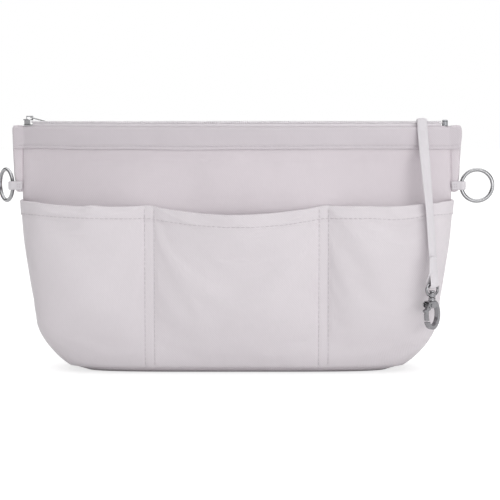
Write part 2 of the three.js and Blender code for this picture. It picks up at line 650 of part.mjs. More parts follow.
// Key strap: it lies on whatever the front shows at its place and hangs straight below the fullest point
function frontFace(x, z) {
  if (z >= hemFoot) {
    const over = -LAYER_GAP - HEM_CLOTH;
    return layerPoint(stationAt(x, z, over), z, over).y;
  }
  if (z > POCKET_TOP) return wallPoint(stationAt(x, z), z).y;
  return pocketPoint(2, bisect(0, 1, (t) => pocketPoint(2, t, z, POCKET_CLOTH).x < x), z, POCKET_CLOTH).y;
}
const strapX = RIM_HALF_WIDTH - STRAP_FROM_SEAM;
const strapEndX = strapX + STRAP_DRIFT;
const strapRest = 3 * LAYER_GAP + STRAP_CLOTH / 2; // centre line above the face it lies on
const strapTop = RIM_HEIGHT - STRAP_BEND;
const barZ = RIM_HEIGHT - STRAP_DROP;
const loopRadius = EYE_WIRE / 2 + 2 * CLASP_CLEAR + STRAP_CLOTH / 2;
const claspRest = 2 * LAYER_GAP + HOOK_HALF_WIDTH + HOOK_WALL / 2 + loopRadius; // room to turn
const claspLength = EYE_HEIGHT + COLLAR_HEIGHT + HOOK_LENGTH;
const STRAP_STEPS = 14;

// How far out a strap or clasp of this width must lie to clear the front
function clearOf(x, z, width, turn, rest) {
  const edges = range(4).map((t) => (t - 0.5) * width);
  const faces = edges.map((e) => frontFace(x + e * Math.cos(turn), z) - e * Math.sin(turn));
  return Math.min(...faces) - rest / Math.cos(turn);
}

// A taut line: no station lies inside the chord between any two others
function tautened(values) {
  return values.map((own, i) => {
    let best = own;
    for (let a = 0; a <= i; a++) {
      for (let b = i; b < values.length; b++) {
        if (b > a) best = Math.min(best, lerp(values[a], values[b], (i - a) / (b - a)));
      }
    }
    return best;
  });
}

function strapLine() {
  const turns = range(STRAP_STEPS).map((t) => {
    return radians(lerp(STRAP_TURN_TOP, STRAP_TURN_END, smooth(t / STRAP_TURN_SHARE)));
  });
  const places = range(STRAP_STEPS).map((t) => [lerp(strapX, strapEndX, t), lerp(strapTop, barZ, t)]);
  const outward = places.map(([x, z], i) => clearOf(x, z, STRAP_WIDTH, turns[i], strapRest));
  const endTurn = turns[STRAP_STEPS];
  const under = range(4).map((t) => barZ - claspLength * t);
  const claspOut = under.map((z) => clearOf(strapEndX, z, 2 * HOOK_HALF_WIDTH, endTurn, claspRest));
  outward[STRAP_STEPS] = Math.min(...outward, ...claspOut);
  const taut = tautened(outward);
  const points = places.map(([x, z], i) => new THREE.Vector3(x, taut[i], z));
  const widths = turns.map((turn) => new THREE.Vector3(Math.cos(turn), Math.sin(turn), 0));
  return { points, widths };
}
const hang = strapLine();
const strapEnd = hang.points[STRAP_STEPS];
const strapWidthDir = hang.widths[STRAP_STEPS];
const strapOut = new THREE.Vector3(strapWidthDir.y, -strapWidthDir.x, 0);
const barCentre = strapEnd.clone().addScaledVector(strapOut, -loopRadius);

function keyStrap() {
  const at = (out, up) => barCentre.clone().addScaledVector(strapOut, out).setZ(barZ + up);
  const turn = range(8).slice(1).map((t) => at(loopRadius * Math.cos(Math.PI * t), -loopRadius * Math.sin(Math.PI * t)));
  const tailOut = loopRadius - STRAP_CLOTH - LAYER_GAP;
  const joinUp = 4 * loopRadius;
  const rise = [0.35, 0.7, 1].map((t) => at(lerp(-loopRadius, tailOut, smooth(t)), joinUp * t));
  const loop = [...turn, ...rise, at(tailOut, joinUp + STRAP_TAIL)];
  const points = [...hang.points, ...loop];
  const widths = [...hang.widths, ...loop.map(() => strapWidthDir)];
  return ribbon(points, widths, STRAP_WIDTH, STRAP_CLOTH);
}
add("key_strap", keyStrap(), webbing);

function strapAnchor() {
  const inside = (z) => {
    const depth = liningFace + 3 * LAYER_GAP + STRAP_CLOTH / 2;
    return layerPoint(stationAt(strapX, z, depth), z, depth).setZ(z);
  };
  const coil = layerPoint(stationAt(strapX, RIM_HEIGHT, coilDepth), RIM_HEIGHT, coilDepth);
  const round = COIL_RADIUS + 3 * LAYER_GAP + STRAP_CLOTH / 2;
  const over = [20, 55, 90, 125, 160].map((angle) => {
    const a = radians(angle);
    return new THREE.Vector3(strapX, coil.y + round * Math.cos(a), coilZ + round * Math.sin(a));
  });
  const first = hang.points[0];
  const outside = [first.clone().setZ(RIM_HEIGHT + 2 * LAYER_GAP), first.clone().setZ(strapTop + STRAP_CLOTH + LAYER_GAP)];
  const buried = [STRAP_INSIDE, STRAP_INSIDE * 0.6, STRAP_INSIDE * 0.25, 0].map((d) => inside(RIM_HEIGHT - d));
  const points = [...buried, ...over, ...outside];
  return ribbon(points, points.map(() => hang.widths[0]), STRAP_WIDTH, STRAP_CLOTH);
}
add("key_strap_anchor", strapAnchor(), webbing);

// Swivel clasp, hung by its bar: X along the bar, Z up
const clasp = new THREE.Group();
clasp.position.copy(barCentre);
clasp.rotation.z = Math.atan2(strapWidthDir.y, strapWidthDir.x);
organizer.add(clasp);

const collarTop = -EYE_HEIGHT + COLLAR_HEIGHT / 2;
const collarBottom = collarTop - COLLAR_HEIGHT;
function claspEye() {
  const corner = EYE_HEIGHT / 3;
  const half = EYE_WIDTH / 2;
  const line = new THREE.CatmullRomCurve3(
    [
      [-half + corner, 0],
      [-half / 4, 0],
      [half / 4, 0],
      [half - corner, 0],
      [half, -corner],
      [half, -EYE_HEIGHT + corner],
      [half - corner, -EYE_HEIGHT],
      [0, -EYE_HEIGHT],
      [-half + corner, -EYE_HEIGHT],
      [-half, -EYE_HEIGHT + corner],
      [-half, -corner],
    ].map(([x, z]) => new THREE.Vector3(x, 0, z)),
    true,
  );
  const loop = new THREE.ExtrudeGeometry(roundShape(EYE_WIRE / 2, 8), { steps: 32, extrudePath: line });
  const collar = upright(COLLAR_RADIUS, collarBottom, collarTop);
  const bore = upright(POST_RADIUS + CLASP_CLEAR, collarBottom - 1, collarTop + 1);
  return toGeometry(toSolid(loop).add(collar).subtract(bore));
}
add("clasp_eye", claspEye(), nickel, clasp);

const neckTop = collarBottom - CLASP_CLEAR;
const hookTop = neckTop - 1.2;
const hookMiddle = hookTop - HOOK_LENGTH / 2;
const pinX = -HOOK_HALF_WIDTH * 0.55;
const pinZ = hookTop - HOOK_LENGTH * 0.16;
const tipZ = hookTop - HOOK_LENGTH * 0.72;
const forkSlot = FORK_THICKNESS - 2 * FORK_CHEEK;
const knuckle = HOOK_WALL * 0.6;
const knuckleY = -forkSlot / 2 + CLASP_CLEAR + GATE_THICKNESS / 2;
const innerHalf = HOOK_HALF_WIDTH - HOOK_WALL;
const innerUp = HOOK_LENGTH / 2 - HOOK_WALL * 1.25;
function oval(halfAcross, halfUp, thickness) {
  const shape = new THREE.Shape();
  shape.absellipse(0, hookMiddle, halfAcross, halfUp, 0, 2 * Math.PI, false, 0);
  return plate(shape, thickness);
}
// The part of the hook's left side between these heights
function leftSide(bottom, top) {
  const width = HOOK_HALF_WIDTH * 1.2;
  return box(width, FORK_THICKNESS + 2, top - bottom, -innerHalf * 0.4 - width / 2, 0, (top + bottom) / 2);
}
function claspHook() {
  const head = upright(POST_HEAD_RADIUS, collarTop + CLASP_CLEAR, collarTop + CLASP_CLEAR + POST_HEAD_HEIGHT);
  const post = upright(POST_RADIUS, hookTop - HOOK_WALL / 2, collarTop + 2 * CLASP_CLEAR);
  const neck = upright(COLLAR_RADIUS, hookTop - HOOK_WALL / 2, neckTop);
  const bow = oval(HOOK_HALF_WIDTH, HOOK_LENGTH / 2, HOOK_THICKNESS);
  const open = bow.subtract(oval(innerHalf, innerUp, FORK_THICKNESS)).subtract(leftSide(tipZ, pinZ));
  const cheeks = crosswise(HOOK_WALL, FORK_THICKNESS, pinX, 0, pinZ);
  const shoulder = crosswise(HOOK_WALL, FORK_THICKNESS, 0, 0, pinZ);
  const bridge = box(-pinX, FORK_THICKNESS, 2 * HOOK_WALL, pinX / 2, 0, pinZ);
  const slotRight = pinX + knuckle + 2 * CLASP_CLEAR;
  const slotTop = pinZ + knuckle + CLASP_CLEAR;
  const slotWidth = HOOK_HALF_WIDTH;
  const slotHeight = 2 * HOOK_WALL + knuckle;
  const slot = box(slotWidth, forkSlot, slotHeight, slotRight - slotWidth / 2, 0, slotTop - slotHeight / 2);
  const bore = crosswise(GATE_PIN_RADIUS + CLASP_CLEAR, FORK_THICKNESS + 2, pinX, 0, pinZ);
  const body = open.add(cheeks).add(shoulder).add(bridge).subtract(slot).subtract(bore);
  return toGeometry(body.add(neck).add(post).add(head));
}
add("clasp_hook", claspHook(), nickel, clasp);

// Gate: the missing side of the hook, hung on the pin, with a thumb knob
function claspGate() {
  const bow = oval(HOOK_HALF_WIDTH, HOOK_LENGTH / 2, HOOK_THICKNESS * 0.75);
  const gateFoot = tipZ + 2 * CLASP_CLEAR;
  const armRight = knuckle * 0.45; // narrow enough to swing in without meeting the bridge
  const armLength = HOOK_WALL * 1.6;
  const swing = box(HOOK_HALF_WIDTH, FORK_THICKNESS, armLength, pinX + armRight + HOOK_HALF_WIDTH / 2, 0, pinZ - armLength / 2);
  const arc = bow.subtract(oval(innerHalf, innerUp, FORK_THICKNESS)).intersect(leftSide(gateFoot, pinZ));
  const side = arc.subtract(swing);
  const knobZ = lerp(pinZ, tipZ, 0.36);
  const knob = crosswise(HOOK_WALL * 0.5, HOOK_THICKNESS * 0.75, -HOOK_HALF_WIDTH, 0, knobZ);
  const aroundSpring = crosswise(SPRING_COIL_RADIUS + SPRING_WIRE_RADIUS + CLASP_CLEAR, FORK_THICKNESS, pinX, 0, pinZ);
  const armWidth = knuckle + armRight;
  const arm = box(armWidth, GATE_THICKNESS, armLength, pinX + (armRight - knuckle) / 2, knuckleY, pinZ - armLength / 2);
  const eye = crosswise(knuckle, GATE_THICKNESS, pinX, knuckleY, pinZ);
  const bore = crosswise(GATE_PIN_RADIUS + CLASP_CLEAR, FORK_THICKNESS, pinX, 0, pinZ);
  return toGeometry(side.add(knob).subtract(aroundSpring).add(arm).add(eye).subtract(bore));
}
add("clasp_gate", claspGate(), nickel, clasp);
add("clasp_gate_pin", toGeometry(crosswise(GATE_PIN_RADIUS, FORK_THICKNESS, pinX, 0, pinZ)), steel, clasp);

function gateSpring() {
  const middle = (knuckleY + GATE_THICKNESS / 2 + forkSlot / 2) / 2;
  const wind = (t) => {
    const a = 2 * Math.PI * SPRING_TURNS * t;
    const along = middle + (t - 0.5) * SPRING_TURNS * SPRING_PITCH;
    return new THREE.Vector3(pinX + SPRING_COIL_RADIUS * Math.cos(a), along, pinZ + SPRING_COIL_RADIUS * Math.sin(a));
  };
  const steps = 24 * SPRING_TURNS;
  const line = range(steps).map(wind);
  let least = Infinity;
  for (let i = 0; i < steps; i++) {
    for (let j = i + 12; j <= steps; j++) least = Math.min(least, line[i].distanceTo(line[j]));
  }
  console.log(`gate spring: least gap between curls ${(least - 2 * SPRING_WIRE_RADIUS).toFixed(2)} mm`);
  return tube(wind, SPRING_WIRE_RADIUS, 5, 8 * SPRING_TURNS);
}
add("clasp_gate_spring", gateSpring(), steel, clasp);

export default organizer;
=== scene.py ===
# Purse organizer insert: its looks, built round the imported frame.
# Lengths are in millimetres until a mesh is made; +Z is up and the front faces -Y, as in the frame.
import math

import bmesh
import bpy
import numpy as np
from mathutils import Matrix, Vector


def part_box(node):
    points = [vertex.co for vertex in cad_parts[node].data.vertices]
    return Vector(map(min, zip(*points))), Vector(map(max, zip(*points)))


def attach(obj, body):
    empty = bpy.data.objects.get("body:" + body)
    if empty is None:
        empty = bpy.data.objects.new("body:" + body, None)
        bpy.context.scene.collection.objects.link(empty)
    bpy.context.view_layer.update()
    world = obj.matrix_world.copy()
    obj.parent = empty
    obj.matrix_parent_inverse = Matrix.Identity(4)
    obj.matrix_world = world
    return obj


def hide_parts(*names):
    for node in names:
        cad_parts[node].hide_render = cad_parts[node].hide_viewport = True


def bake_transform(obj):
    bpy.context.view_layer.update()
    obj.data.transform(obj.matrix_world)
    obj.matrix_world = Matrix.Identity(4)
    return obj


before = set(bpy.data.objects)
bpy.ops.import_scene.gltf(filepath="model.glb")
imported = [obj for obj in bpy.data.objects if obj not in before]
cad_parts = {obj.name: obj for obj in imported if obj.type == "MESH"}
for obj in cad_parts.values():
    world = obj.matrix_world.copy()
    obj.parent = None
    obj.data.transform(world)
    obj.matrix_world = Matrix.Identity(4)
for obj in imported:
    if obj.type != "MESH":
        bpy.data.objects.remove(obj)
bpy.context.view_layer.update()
scene = bpy.context.scene
MM = 0.001
UP = np.array([0.0, 0.0, 1.0])
CLOTH_MAP = "ClothMap"
WORDS = ("front", "back")

# Outer form of the pouch
RIM_HEIGHT = 165.0
BASE_HALF_WIDTH = 103.0
CORNER_REACH = 31.9
CORNER_HEIGHT = 34.0
CORNER_POWER = 1.5
RIM_HALF_WIDTH = 146.0
MOUTH_HALF_WIDTH = 146.8
BASE_HALF_DEPTH = 24.0
EDGE_REACH = 10.0
EDGE_HEIGHT = 16.0
RIM_HALF_DEPTH = 24.0
LEAN_START = 108.0
SECTION_POWER = 4.2
PINCH_START = 84.0
PINCH_END = 140.0
PINCH_POWER = 1.5
POCKET_PINCH_SHARE = 0.6

# Layers, pockets, rim and zip
GAP = 0.3
SEAM_GAP = 0.3
FOAM_BACK = 3.5
LINING_DEPTH = 3.8
LINING_FACE = 4.4
BASE_TOP = 3.4
BASE_LINING_FOOT = 3.8
BASE_LINING_TOP = 4.5
POCKET_TOP = 117.5
POCKET_FOOT = 5.0
MOUTH_DROP = 5.0
MIDDLE_SAG = 4.0
SIDE_SAG = 0.6
MOUTH_SLIP = 2.6  # the soft mouths slip this far down at the side seams
POCKET_STITCH_X = 58.0
STITCH_PAIR = 3.2  # each stitch line is a pair, this far to either side
POCKET_CLOTH = 1.0
MIDDLE_BULGE = 8.5
SIDE_BULGE = 9.0
BULGE_RISE = 42.0
PILLOW_POWER = 4
MOUTH_HEM = 9.0
MOUTH_STITCH = 1.0  # its stitches run this far above the hem's lower edge
HEM_STEP = 1.2  # a hem's lower edge steps back within this
POCKET_SLACK = 0.003
POCKET_EASE = 0.6  # the soft forms are set back by this, to lie round the solid's face
PAIR_SHARE = 0.028  # of a pocket's width lies flat beside a stitch line
STRAP_CLEAR_X = 104.0  # right of this the front pocket leaves room for the key strap
STRAP_CLEAR_RUN = 12.0
SOFT_FROM = 104.0  # the walls are flat behind the pockets, and soft from here up
INNER_HALF_WIDTH = 92.0
INNER_FOOT = 24.0
INNER_TOP = 104.0
INNER_CLOTH = 0.7
INNER_BULGE = 7.0
INNER_STITCH = 1.6
HEM_FOOT = RIM_HEIGHT - 14.5
HEM_CLOTH = 1.0
HEM_ROLL = 2.2
HEM_STITCH = 1.8
BINDING_FACE = 1.3
BINDING_AT_RIM = 6.5
BINDING_AT_TAB = 4.0
TAPE_FOOT = RIM_HEIGHT - 8.0
TAPE_TOP = RIM_HEIGHT + 2.2
TAPE_DEPTH = 1.3
TAPE_CLOTH = 0.6
TAPE_END_X = 139.5
COIL_Z = RIM_HEIGHT + 3.1
COIL_DEPTH = 1.6
COIL_APART = 2.0  # the coils end this far from the middle plane
COIL_PITCH = 1.3
COIL_WIRE = 0.34
COIL_RADIUS = 0.66  # of the wire's middle line
COIL_CORE = 0.26
FINE_THREAD = 0.16

# Tabs, rings, strap and clasp
TAB_HEIGHT = POCKET_TOP + 7.5
TAB_WIDTH = 6.0
TAB_CLOTH = 0.9
TAB_LOOP_RADIUS = 2.2
TAB_BOTTOM = TAB_HEIGHT - TAB_WIDTH / 2
TAB_TOP = TAB_HEIGHT + TAB_WIDTH / 2
RING_RADIUS = 10.7
RING_WIRE = 1.3
LEFT_RING_TURN = 58.0
STRAP_WIDTH = 7.0
STRAP_CLOTH = 1.2
STRAP_PIVOT = (125.4, -11.74, 163.0)
STRAP_EDGE = (127.9, -35.38, 112.5)  # where it passes over the pocket mouth
STRAP_END = (130.4, -49.15, 62.0)
STRAP_INSIDE = 22.0
STRAP_TURN_TOP = 17.0
STRAP_TURN_END = 42.0
STRAP_TURN_SHARE = 0.6
STRAP_TAIL = 9.0
LOOP_RADIUS = 2.2
LOOP_JOIN = 4 * LOOP_RADIUS  # the strap's sides meet this far above the clasp's bar
SPRING_PLACE = (-3.63, 0.75, -13.2)  # from the clasp's bar: along it, across it, up
SPRING_RADIUS = 1.0
SPRING_WIRE = 0.2
SPRING_PITCH = 0.85
SPRING_TURNS = 2

# Soft forms of the cloth: how high they stand, and how wide and long their features are
WALL_DENT = (1.1, 46, 30)
WALL_FOLD = (0.5, 16, 55)
WALL_GATHER = (0.3, 6, 14)
LINING_PUFF = (0.7, 40, 24)
LINING_FOLD = (0.3, 11, 26)
INNER_SWELL = (0.6, 30, 22)
INNER_FOLD = (0.35, 9, 20)
POCKET_SWELL = (1.0, 52, 34)
POCKET_FOLD = (0.5, 21, 26)
POCKET_GATHER = (0.6, 6.5, 40)
POCKET_PUCKER = (0.5, 30, 5.5)
POCKET_ROLL = (0.6, 14, 16)
HEM_PUCKER = (0.4, 7, 20)
HEM_FOLD = (0.45, 24, 20)
HEM_WAVER = (0.5, 34, 1)
BINDING_WAVER = (0.25, 7, 1)
BASE_UNEVEN = (0.12, 18, 12)
FOLD_SLANT = 0.35  # the pockets' folds lean by this share of their height
GATHER_REACH = 14.0  # above the pockets' foot
PUCKER_REACH = 7.0  # from a stitch line
ROLL_REACH = 12.0  # below a pocket's mouth
PUSH_LIMIT = 3.0  # of the soft forms near the key strap
SETTLE_LIMIT = 6.0  # of the settled cloth near the key strap
GROOVE_DEPTH = 0.3  # along a stitch line
ROLL_DEPTH = 0.75  # of the rim hems' rolled top
CRIMP_PLACE = 0.36  # the end stop's crimp marks, in shares of half its length and of its size
CRIMP_WIDTH = 0.13
CRIMP_DEPTH = 0.07

# How fine the meshes are
TABLE_ROWS = 341
TABLE_COLUMNS = 801
TABLE_SAMPLES = 2401
COARSE_TOP = 100.0  # up to here the walls' rows lie further apart
WALL_COLUMNS = 150
LINING_COLUMNS = 110
POCKET_ROWS = 86
SIDE_COLUMNS = 50
MIDDLE_COLUMNS = 66
INNER_ROWS = 56
INNER_COLUMNS = 44
HEM_ROWS = 22
HEM_COLUMNS = 190
TAPE_COLUMNS = 170
COIL_SAMPLES = 800
COIL_STEPS = 12  # in a turn
TAB_POINTS = 61
RING_POINTS = 144
STRAP_POINTS = 460


# Small maths
def lerp(a, b, t):
    return a + (b - a) * t


def smooth(t):
    t = np.clip(t, 0, 1)
    return t * t * (3 - 2 * t)


def ramp(value, start, run):
    """0 up to a start, and then smoothly to 1 over a run."""
    return smooth((value - start) / run)


def bell(distance, width):
    return np.exp(-((distance / width) ** 2))


def unit(v):
    return v / np.maximum(np.linalg.norm(v, axis=-1, keepdims=True), 1e-12)


def together(*values):
    return np.broadcast_arrays(*(np.asarray(v, float) for v in values))


def coords(*axes):
    """Points from their coordinates, which are drawn out to one shape."""
    return np.stack(together(*axes), -1)


def crowd(count, share=0.7):
    """0 to 1 in count steps, crowded towards both ends."""
    t = np.linspace(0, 1, count)
    return lerp(t, (1 - np.cos(np.pi * t)) / 2, share)


def crowd_up(count, share):
    """0 to 1 in count steps, crowded towards the top."""
    t = np.linspace(0, 1, count)
    return lerp(t, 1 - (1 - t) ** 1.7, share)


def bisect(shape, low, high, is_low):
    low = np.full(shape, float(low))
    high = np.full(shape, float(high))
    for _ in range(28):
        middle = (low + high) / 2
        flag = is_low(middle)
        low = np.where(flag, middle, low)
        high = np.where(flag, high, middle)
    return (low + high) / 2


def lengths(line):
    """How far along a line each of its points lies."""
    return np.concatenate([[0], np.cumsum(np.linalg.norm(np.diff(line, axis=0), axis=1))])


def at_lengths(line, travelled, at):
    return np.stack([np.interp(at, travelled, line[:, c]) for c in range(line.shape[1])], -1)


def resampled(line, count):
    travelled = lengths(line)
    return at_lengths(line, travelled, np.linspace(0, travelled[-1], count))


def smoothed(line, rounds):
    line = line.copy()
    for _ in range(rounds):
        line[1:-1] = (line[:-2] + 2 * line[1:-1] + line[2:]) / 4
    return line


def on_grid(points, row, column):
    """Points on a grid at fractional rows and columns."""
    row, column = together(row, column)
    i = np.clip(row.astype(int), 0, points.shape[0] - 2)
    j = np.clip(column.astype(int), 0, points.shape[1] - 2)
    a = (row - i)[..., None]
    b = (column - j)[..., None]
    first = lerp(points[i, j], points[i, j + 1], b)
    after = lerp(points[i + 1, j], points[i + 1, j + 1], b)
    return lerp(first, after, a)


NOISE_CELLS = 64
_lattices = {}


def noise(x, y, seed):
    """Smooth noise from -1 to 1 with features about one unit wide."""
    if seed not in _lattices:
        _lattices[seed] = np.random.default_rng(seed).uniform(-1, 1, (NOISE_CELLS, NOISE_CELLS))
    grid = _lattices[seed]
    x, y = together(x, y)
    i = np.floor(x).astype(int)
    j = np.floor(y).astype(int)
    a = smooth(x - i)
    b = smooth(y - j)

    def at(p, q):
        return grid[p % NOISE_CELLS, q % NOISE_CELLS]

    return lerp(lerp(at(i, j), at(i + 1, j), a), lerp(at(i, j + 1), at(i + 1, j + 1), a), b)


def fold(across, up, form, seed):
    """Noise of a soft form, to either side of the cloth."""
    height, width, length = form
    return height * noise(across / width, up / length, seed)


def dent(across, up, form, seed):
    """The same, to one side only."""
    return form[0] + fold(across, up, form, seed)


# The wall: half-sections by arc length, kept as tables
def half_width(z):
    z = np.asarray(z, float)
    left = np.clip(1 - z / CORNER_HEIGHT, 0, 1) ** CORNER_POWER
    low = BASE_HALF_WIDTH + CORNER_REACH * (1 - left) ** (1 / CORNER_POWER)
    belly = BASE_HALF_WIDTH + CORNER_REACH
    side = lerp(belly, MOUTH_HALF_WIDTH, (z - CORNER_HEIGHT) / (POCKET_TOP - CORNER_HEIGHT))
    top = lerp(MOUTH_HALF_WIDTH, RIM_HALF_WIDTH, ramp(z, POCKET_TOP, RIM_HEIGHT - POCKET_TOP))
    return np.where(z < CORNER_HEIGHT, low, np.where(z < POCKET_TOP, side, top))


def half_depth(z):
    rounded = np.sqrt(1 - (1 - np.minimum(1, z / EDGE_HEIGHT)) ** 2)
    body = BASE_HALF_DEPTH + EDGE_REACH * rounded
    return lerp(body, RIM_HALF_DEPTH, ramp(z, LEAN_START, RIM_HEIGHT - LEAN_START))


def section_table(share):
    angle = np.linspace(np.pi, 0, TABLE_SAMPLES)
    c = np.cos(angle)
    s = np.clip(np.sin(angle), 0, None)
    rows = []
    for z in np.linspace(0, RIM_HEIGHT, TABLE_ROWS):
        drawn = share * ramp(z, PINCH_START, PINCH_END - PINCH_START)
        power_x = lerp(2 / SECTION_POWER, 1, drawn)
        power_y = lerp(2 / SECTION_POWER, PINCH_POWER, drawn)
        x = half_width(z) * np.sign(c) * np.abs(c) ** power_x
        y = -half_depth(z) * s**power_y
        rows.append(resampled(coords(x, y), TABLE_COLUMNS))
    return np.array(rows)


TABLES = {share: section_table(share) for share in (1.0, POCKET_PINCH_SHARE)}


def wall(u, z, share=1.0):
    u, z = together(u, z)
    row = np.clip(z / RIM_HEIGHT, 0, 1) * (TABLE_ROWS - 1)
    column = np.clip(u, 0, 1) * (TABLE_COLUMNS - 1)
    return np.concatenate([on_grid(TABLES[share], row, column), z[..., None]], -1)


def wall_normal(u, z, share=1.0):
    reach = 0.004
    step = 0.6
    across = wall(np.minimum(1, u + reach), z, share) - wall(np.maximum(0, u - reach), z, share)
    low = np.clip(np.minimum(RIM_HEIGHT, z + step) - 2 * step, 0, None)
    up = wall(u, low + 2 * step, share) - wall(u, low, share)
    return unit(np.cross(across, up))


def layer(u, z, depth, share=1.0):
    """A point at a depth inside the wall's outer face; a negative depth lies outside it."""
    u, z, depth = together(u, z, depth)
    return wall(u, z, share) - depth[..., None] * wall_normal(u, z, share)


def seam_start(z, depth):
    z = np.asarray(z, float)
    return bisect(z.shape, 0, 0.5, lambda u: layer(u, z, depth)[..., 1] > -SEAM_GAP / 2)


def station_at(x, z, depth=0.0):
    x, z = together(x, z)
    return bisect(x.shape, 0, 1, lambda u: layer(u, z, depth)[..., 0] < x)


def binding_meets(z, off):
    """Where a cloth laid this far off the wall meets the face of the bound seam."""
    z = np.asarray(z, float)
    return bisect(z.shape, 0, 0.5, lambda u: layer(u, z, -off)[..., 1] > -BINDING_FACE - off)


def binding_edge(z):
    risen = np.clip((z - TAB_TOP) / (RIM_HEIGHT - TAB_TOP), 0, 1)
    return half_width(z) + lerp(BINDING_AT_TAB, BINDING_AT_RIM, np.sqrt(risen))


LEVELS = np.linspace(0, RIM_HEIGHT, 171)
FLAT_WIDTH = 344.0  # length of the front wall's section at mid height

# Meshes, with a stitch's form from end to end: where its rings lie, how far out, and how thick
STITCH_STEPS = np.array([0, 0.1, 0.3, 0.7, 0.9, 1.0])
STITCH_LIFT = np.array([-1.3, 0.1, 0.75, 0.75, 0.1, -1.3])
STITCH_THICK = np.array([0.7, 0.95, 1, 1, 0.95, 0.7])


def quads(grid):
    return np.stack([grid[:-1, :-1], grid[:-1, 1:], grid[1:, 1:], grid[1:, :-1]], -1).reshape(-1, 4)


class Shape:
    """Points in millimetres with their cloth map, gathered into one mesh."""

    def __init__(self):
        self.points = []
        self.maps = []
        self.faces = []
        self.count = 0

    def add(self, points, faces, flat=None):
        points = np.asarray(points, float).reshape(-1, 3)
        flat = np.zeros((len(points), 2)) if flat is None else np.asarray(flat, float).reshape(-1, 2)
        self.points.append(points)
        self.maps.append(flat)
        for block in faces:
            self.faces += (np.asarray(block) + self.count).tolist()
        self.count += len(points)
        return self

    def slab(self, outer, inner, flat, edge=0.5):
        """A closed cloth between two faces, with rounded borders."""
        rows, columns = outer.shape[:2]
        grid = np.arange(rows * columns).reshape(rows, columns)
        i, j = np.indices((rows, columns))
        inside = grid[np.clip(i, 1, rows - 2), np.clip(j, 1, columns - 2)]
        border = np.concatenate([grid[0], grid[1:, -1], grid[-1, -2::-1], grid[-2:0:-1, 0]])
        a = outer.reshape(-1, 3)
        b = inner.reshape(-1, 3)
        middle = (a + b) / 2
        outward = unit(middle[border] - middle[inside.ravel()[border]])
        thick = np.linalg.norm(a - b, axis=1)[border, None]
        rim = middle[border] + outward * thick * edge
        size = rows * columns
        ring = 2 * size + np.arange(len(border))
        after = np.roll(np.arange(len(border)), -1)
        sides = [
            np.stack([border[after], border, ring, ring[after]], -1),
            np.stack([ring[after], ring, border + size, border[after] + size], -1),
        ]
        faces = [quads(grid), quads(grid)[:, ::-1] + size, *sides]
        flat = flat.reshape(-1, 2)
        return self.add(np.concatenate([a, b, rim]), faces, np.concatenate([flat, flat, flat[border]]))

    def rings(self, points, flat=None, closed=False):
        """A skin over rings of points, joined end to end or capped."""
        count, sides = points.shape[:2]
        grid = np.arange(count * sides).reshape(count, sides)
        wrapped = np.concatenate([grid, grid[:, :1]], 1)
        if closed:
            faces = [quads(np.concatenate([wrapped, wrapped[:1]]))]
        else:
            faces = [quads(wrapped), [grid[0].tolist()], [grid[-1, ::-1].tolist()]]
        return self.add(points, faces, flat)

    def tube(self, line, across, radius, sides, closed=False):
        """A round tube along a line; across is a direction square to it at each point."""
        line = np.asarray(line, float)
        ahead = np.roll(line, -1, 0) - np.roll(line, 1, 0) if closed else np.gradient(line, axis=0)
        ahead = unit(ahead)
        across = unit(across - ahead * (across * ahead).sum(-1, keepdims=True))
        other = np.cross(ahead, across)
        turn = np.linspace(0, 2 * np.pi, sides, endpoint=False)
        radius = np.broadcast_to(np.asarray(radius, float), (len(line),))[:, None, None]
        spoke = across[:, None] * np.cos(turn)[:, None] + other[:, None] * np.sin(turn)[:, None]
        flat = coords(lengths(line)[:, None], turn * radius[:, :, 0])
        return self.rings(line[:, None] + radius * spoke, flat, closed)

    def stitches(self, line, normal, length=2.5, gap=0.7, radius=0.2):
        """A run of thread stitches along a line on a face."""
        travelled = lengths(line)
        count = int((travelled[-1] - gap) // (length + gap))
        spare = travelled[-1] - count * (length + gap)
        for k in range(count):
            at = spare / 2 + gap / 2 + k * (length + gap) + STITCH_STEPS * length
            centre = at_lengths(line, travelled, at)
            out = unit(at_lengths(normal, travelled, at))
            self.tube(centre + out * STITCH_LIFT[:, None] * radius, out, STITCH_THICK * radius, 6)
        return self

    def sew(self, face, normal, row, column, back=False, **stitch):
        """Stitches over a grid of points, along fractional rows and columns."""
        line = turned(on_grid(face, row, column), back)
        return self.stitches(line, turned(on_grid(normal, row, column), back), **stitch)

    def build(self, name, material):
        mesh = bpy.data.meshes.new(name)
        mesh.from_pydata((np.concatenate(self.points) * MM).tolist(), [], self.faces)
        layer_map = mesh.uv_layers.new(name=CLOTH_MAP)
        index = np.empty(len(mesh.loops), np.int32)
        mesh.loops.foreach_get("vertex_index", index)
        flat = (np.concatenate(self.maps) * MM)[index]
        layer_map.data.foreach_set("uv", flat.astype(np.float32).ravel())
        return finish_mesh(name, mesh, material)


def reworked(mesh, change):
    work = bmesh.new()
    work.from_mesh(mesh)
    change(work)
    work.to_mesh(mesh)
    work.free()


def linked(name, data):
    obj = bpy.data.objects.new(name, data)
    scene.collection.objects.link(obj)
    return obj


def finish_mesh(name, mesh, material):
    """Turns the faces outwards, shades them smooth and links the object."""
    reworked(mesh, lambda work: bmesh.ops.recalc_face_normals(work, faces=work.faces))
    mesh.polygons.foreach_set("use_smooth", np.ones(len(mesh.polygons), bool))
    mesh.materials.clear()
    mesh.materials.append(material)
    return linked(name, mesh)


def grid_normals(points):
    """Normals of a grid of points, towards the side from which it reads left to right and upwards."""
    return unit(np.cross(np.gradient(points, axis=1), np.gradient(points, axis=0)))


def turned(points, back):
    """Points of the front as they are, or mirrored to the back."""
    return points * np.array([1.0, -1.0, 1.0]) if back else points


def cloth_between(outer, inner, flat, back, name, look, edge=0.5):
    return Shape().slab(turned(outer, back), turned(inner, back), flat, edge).build(name, look)


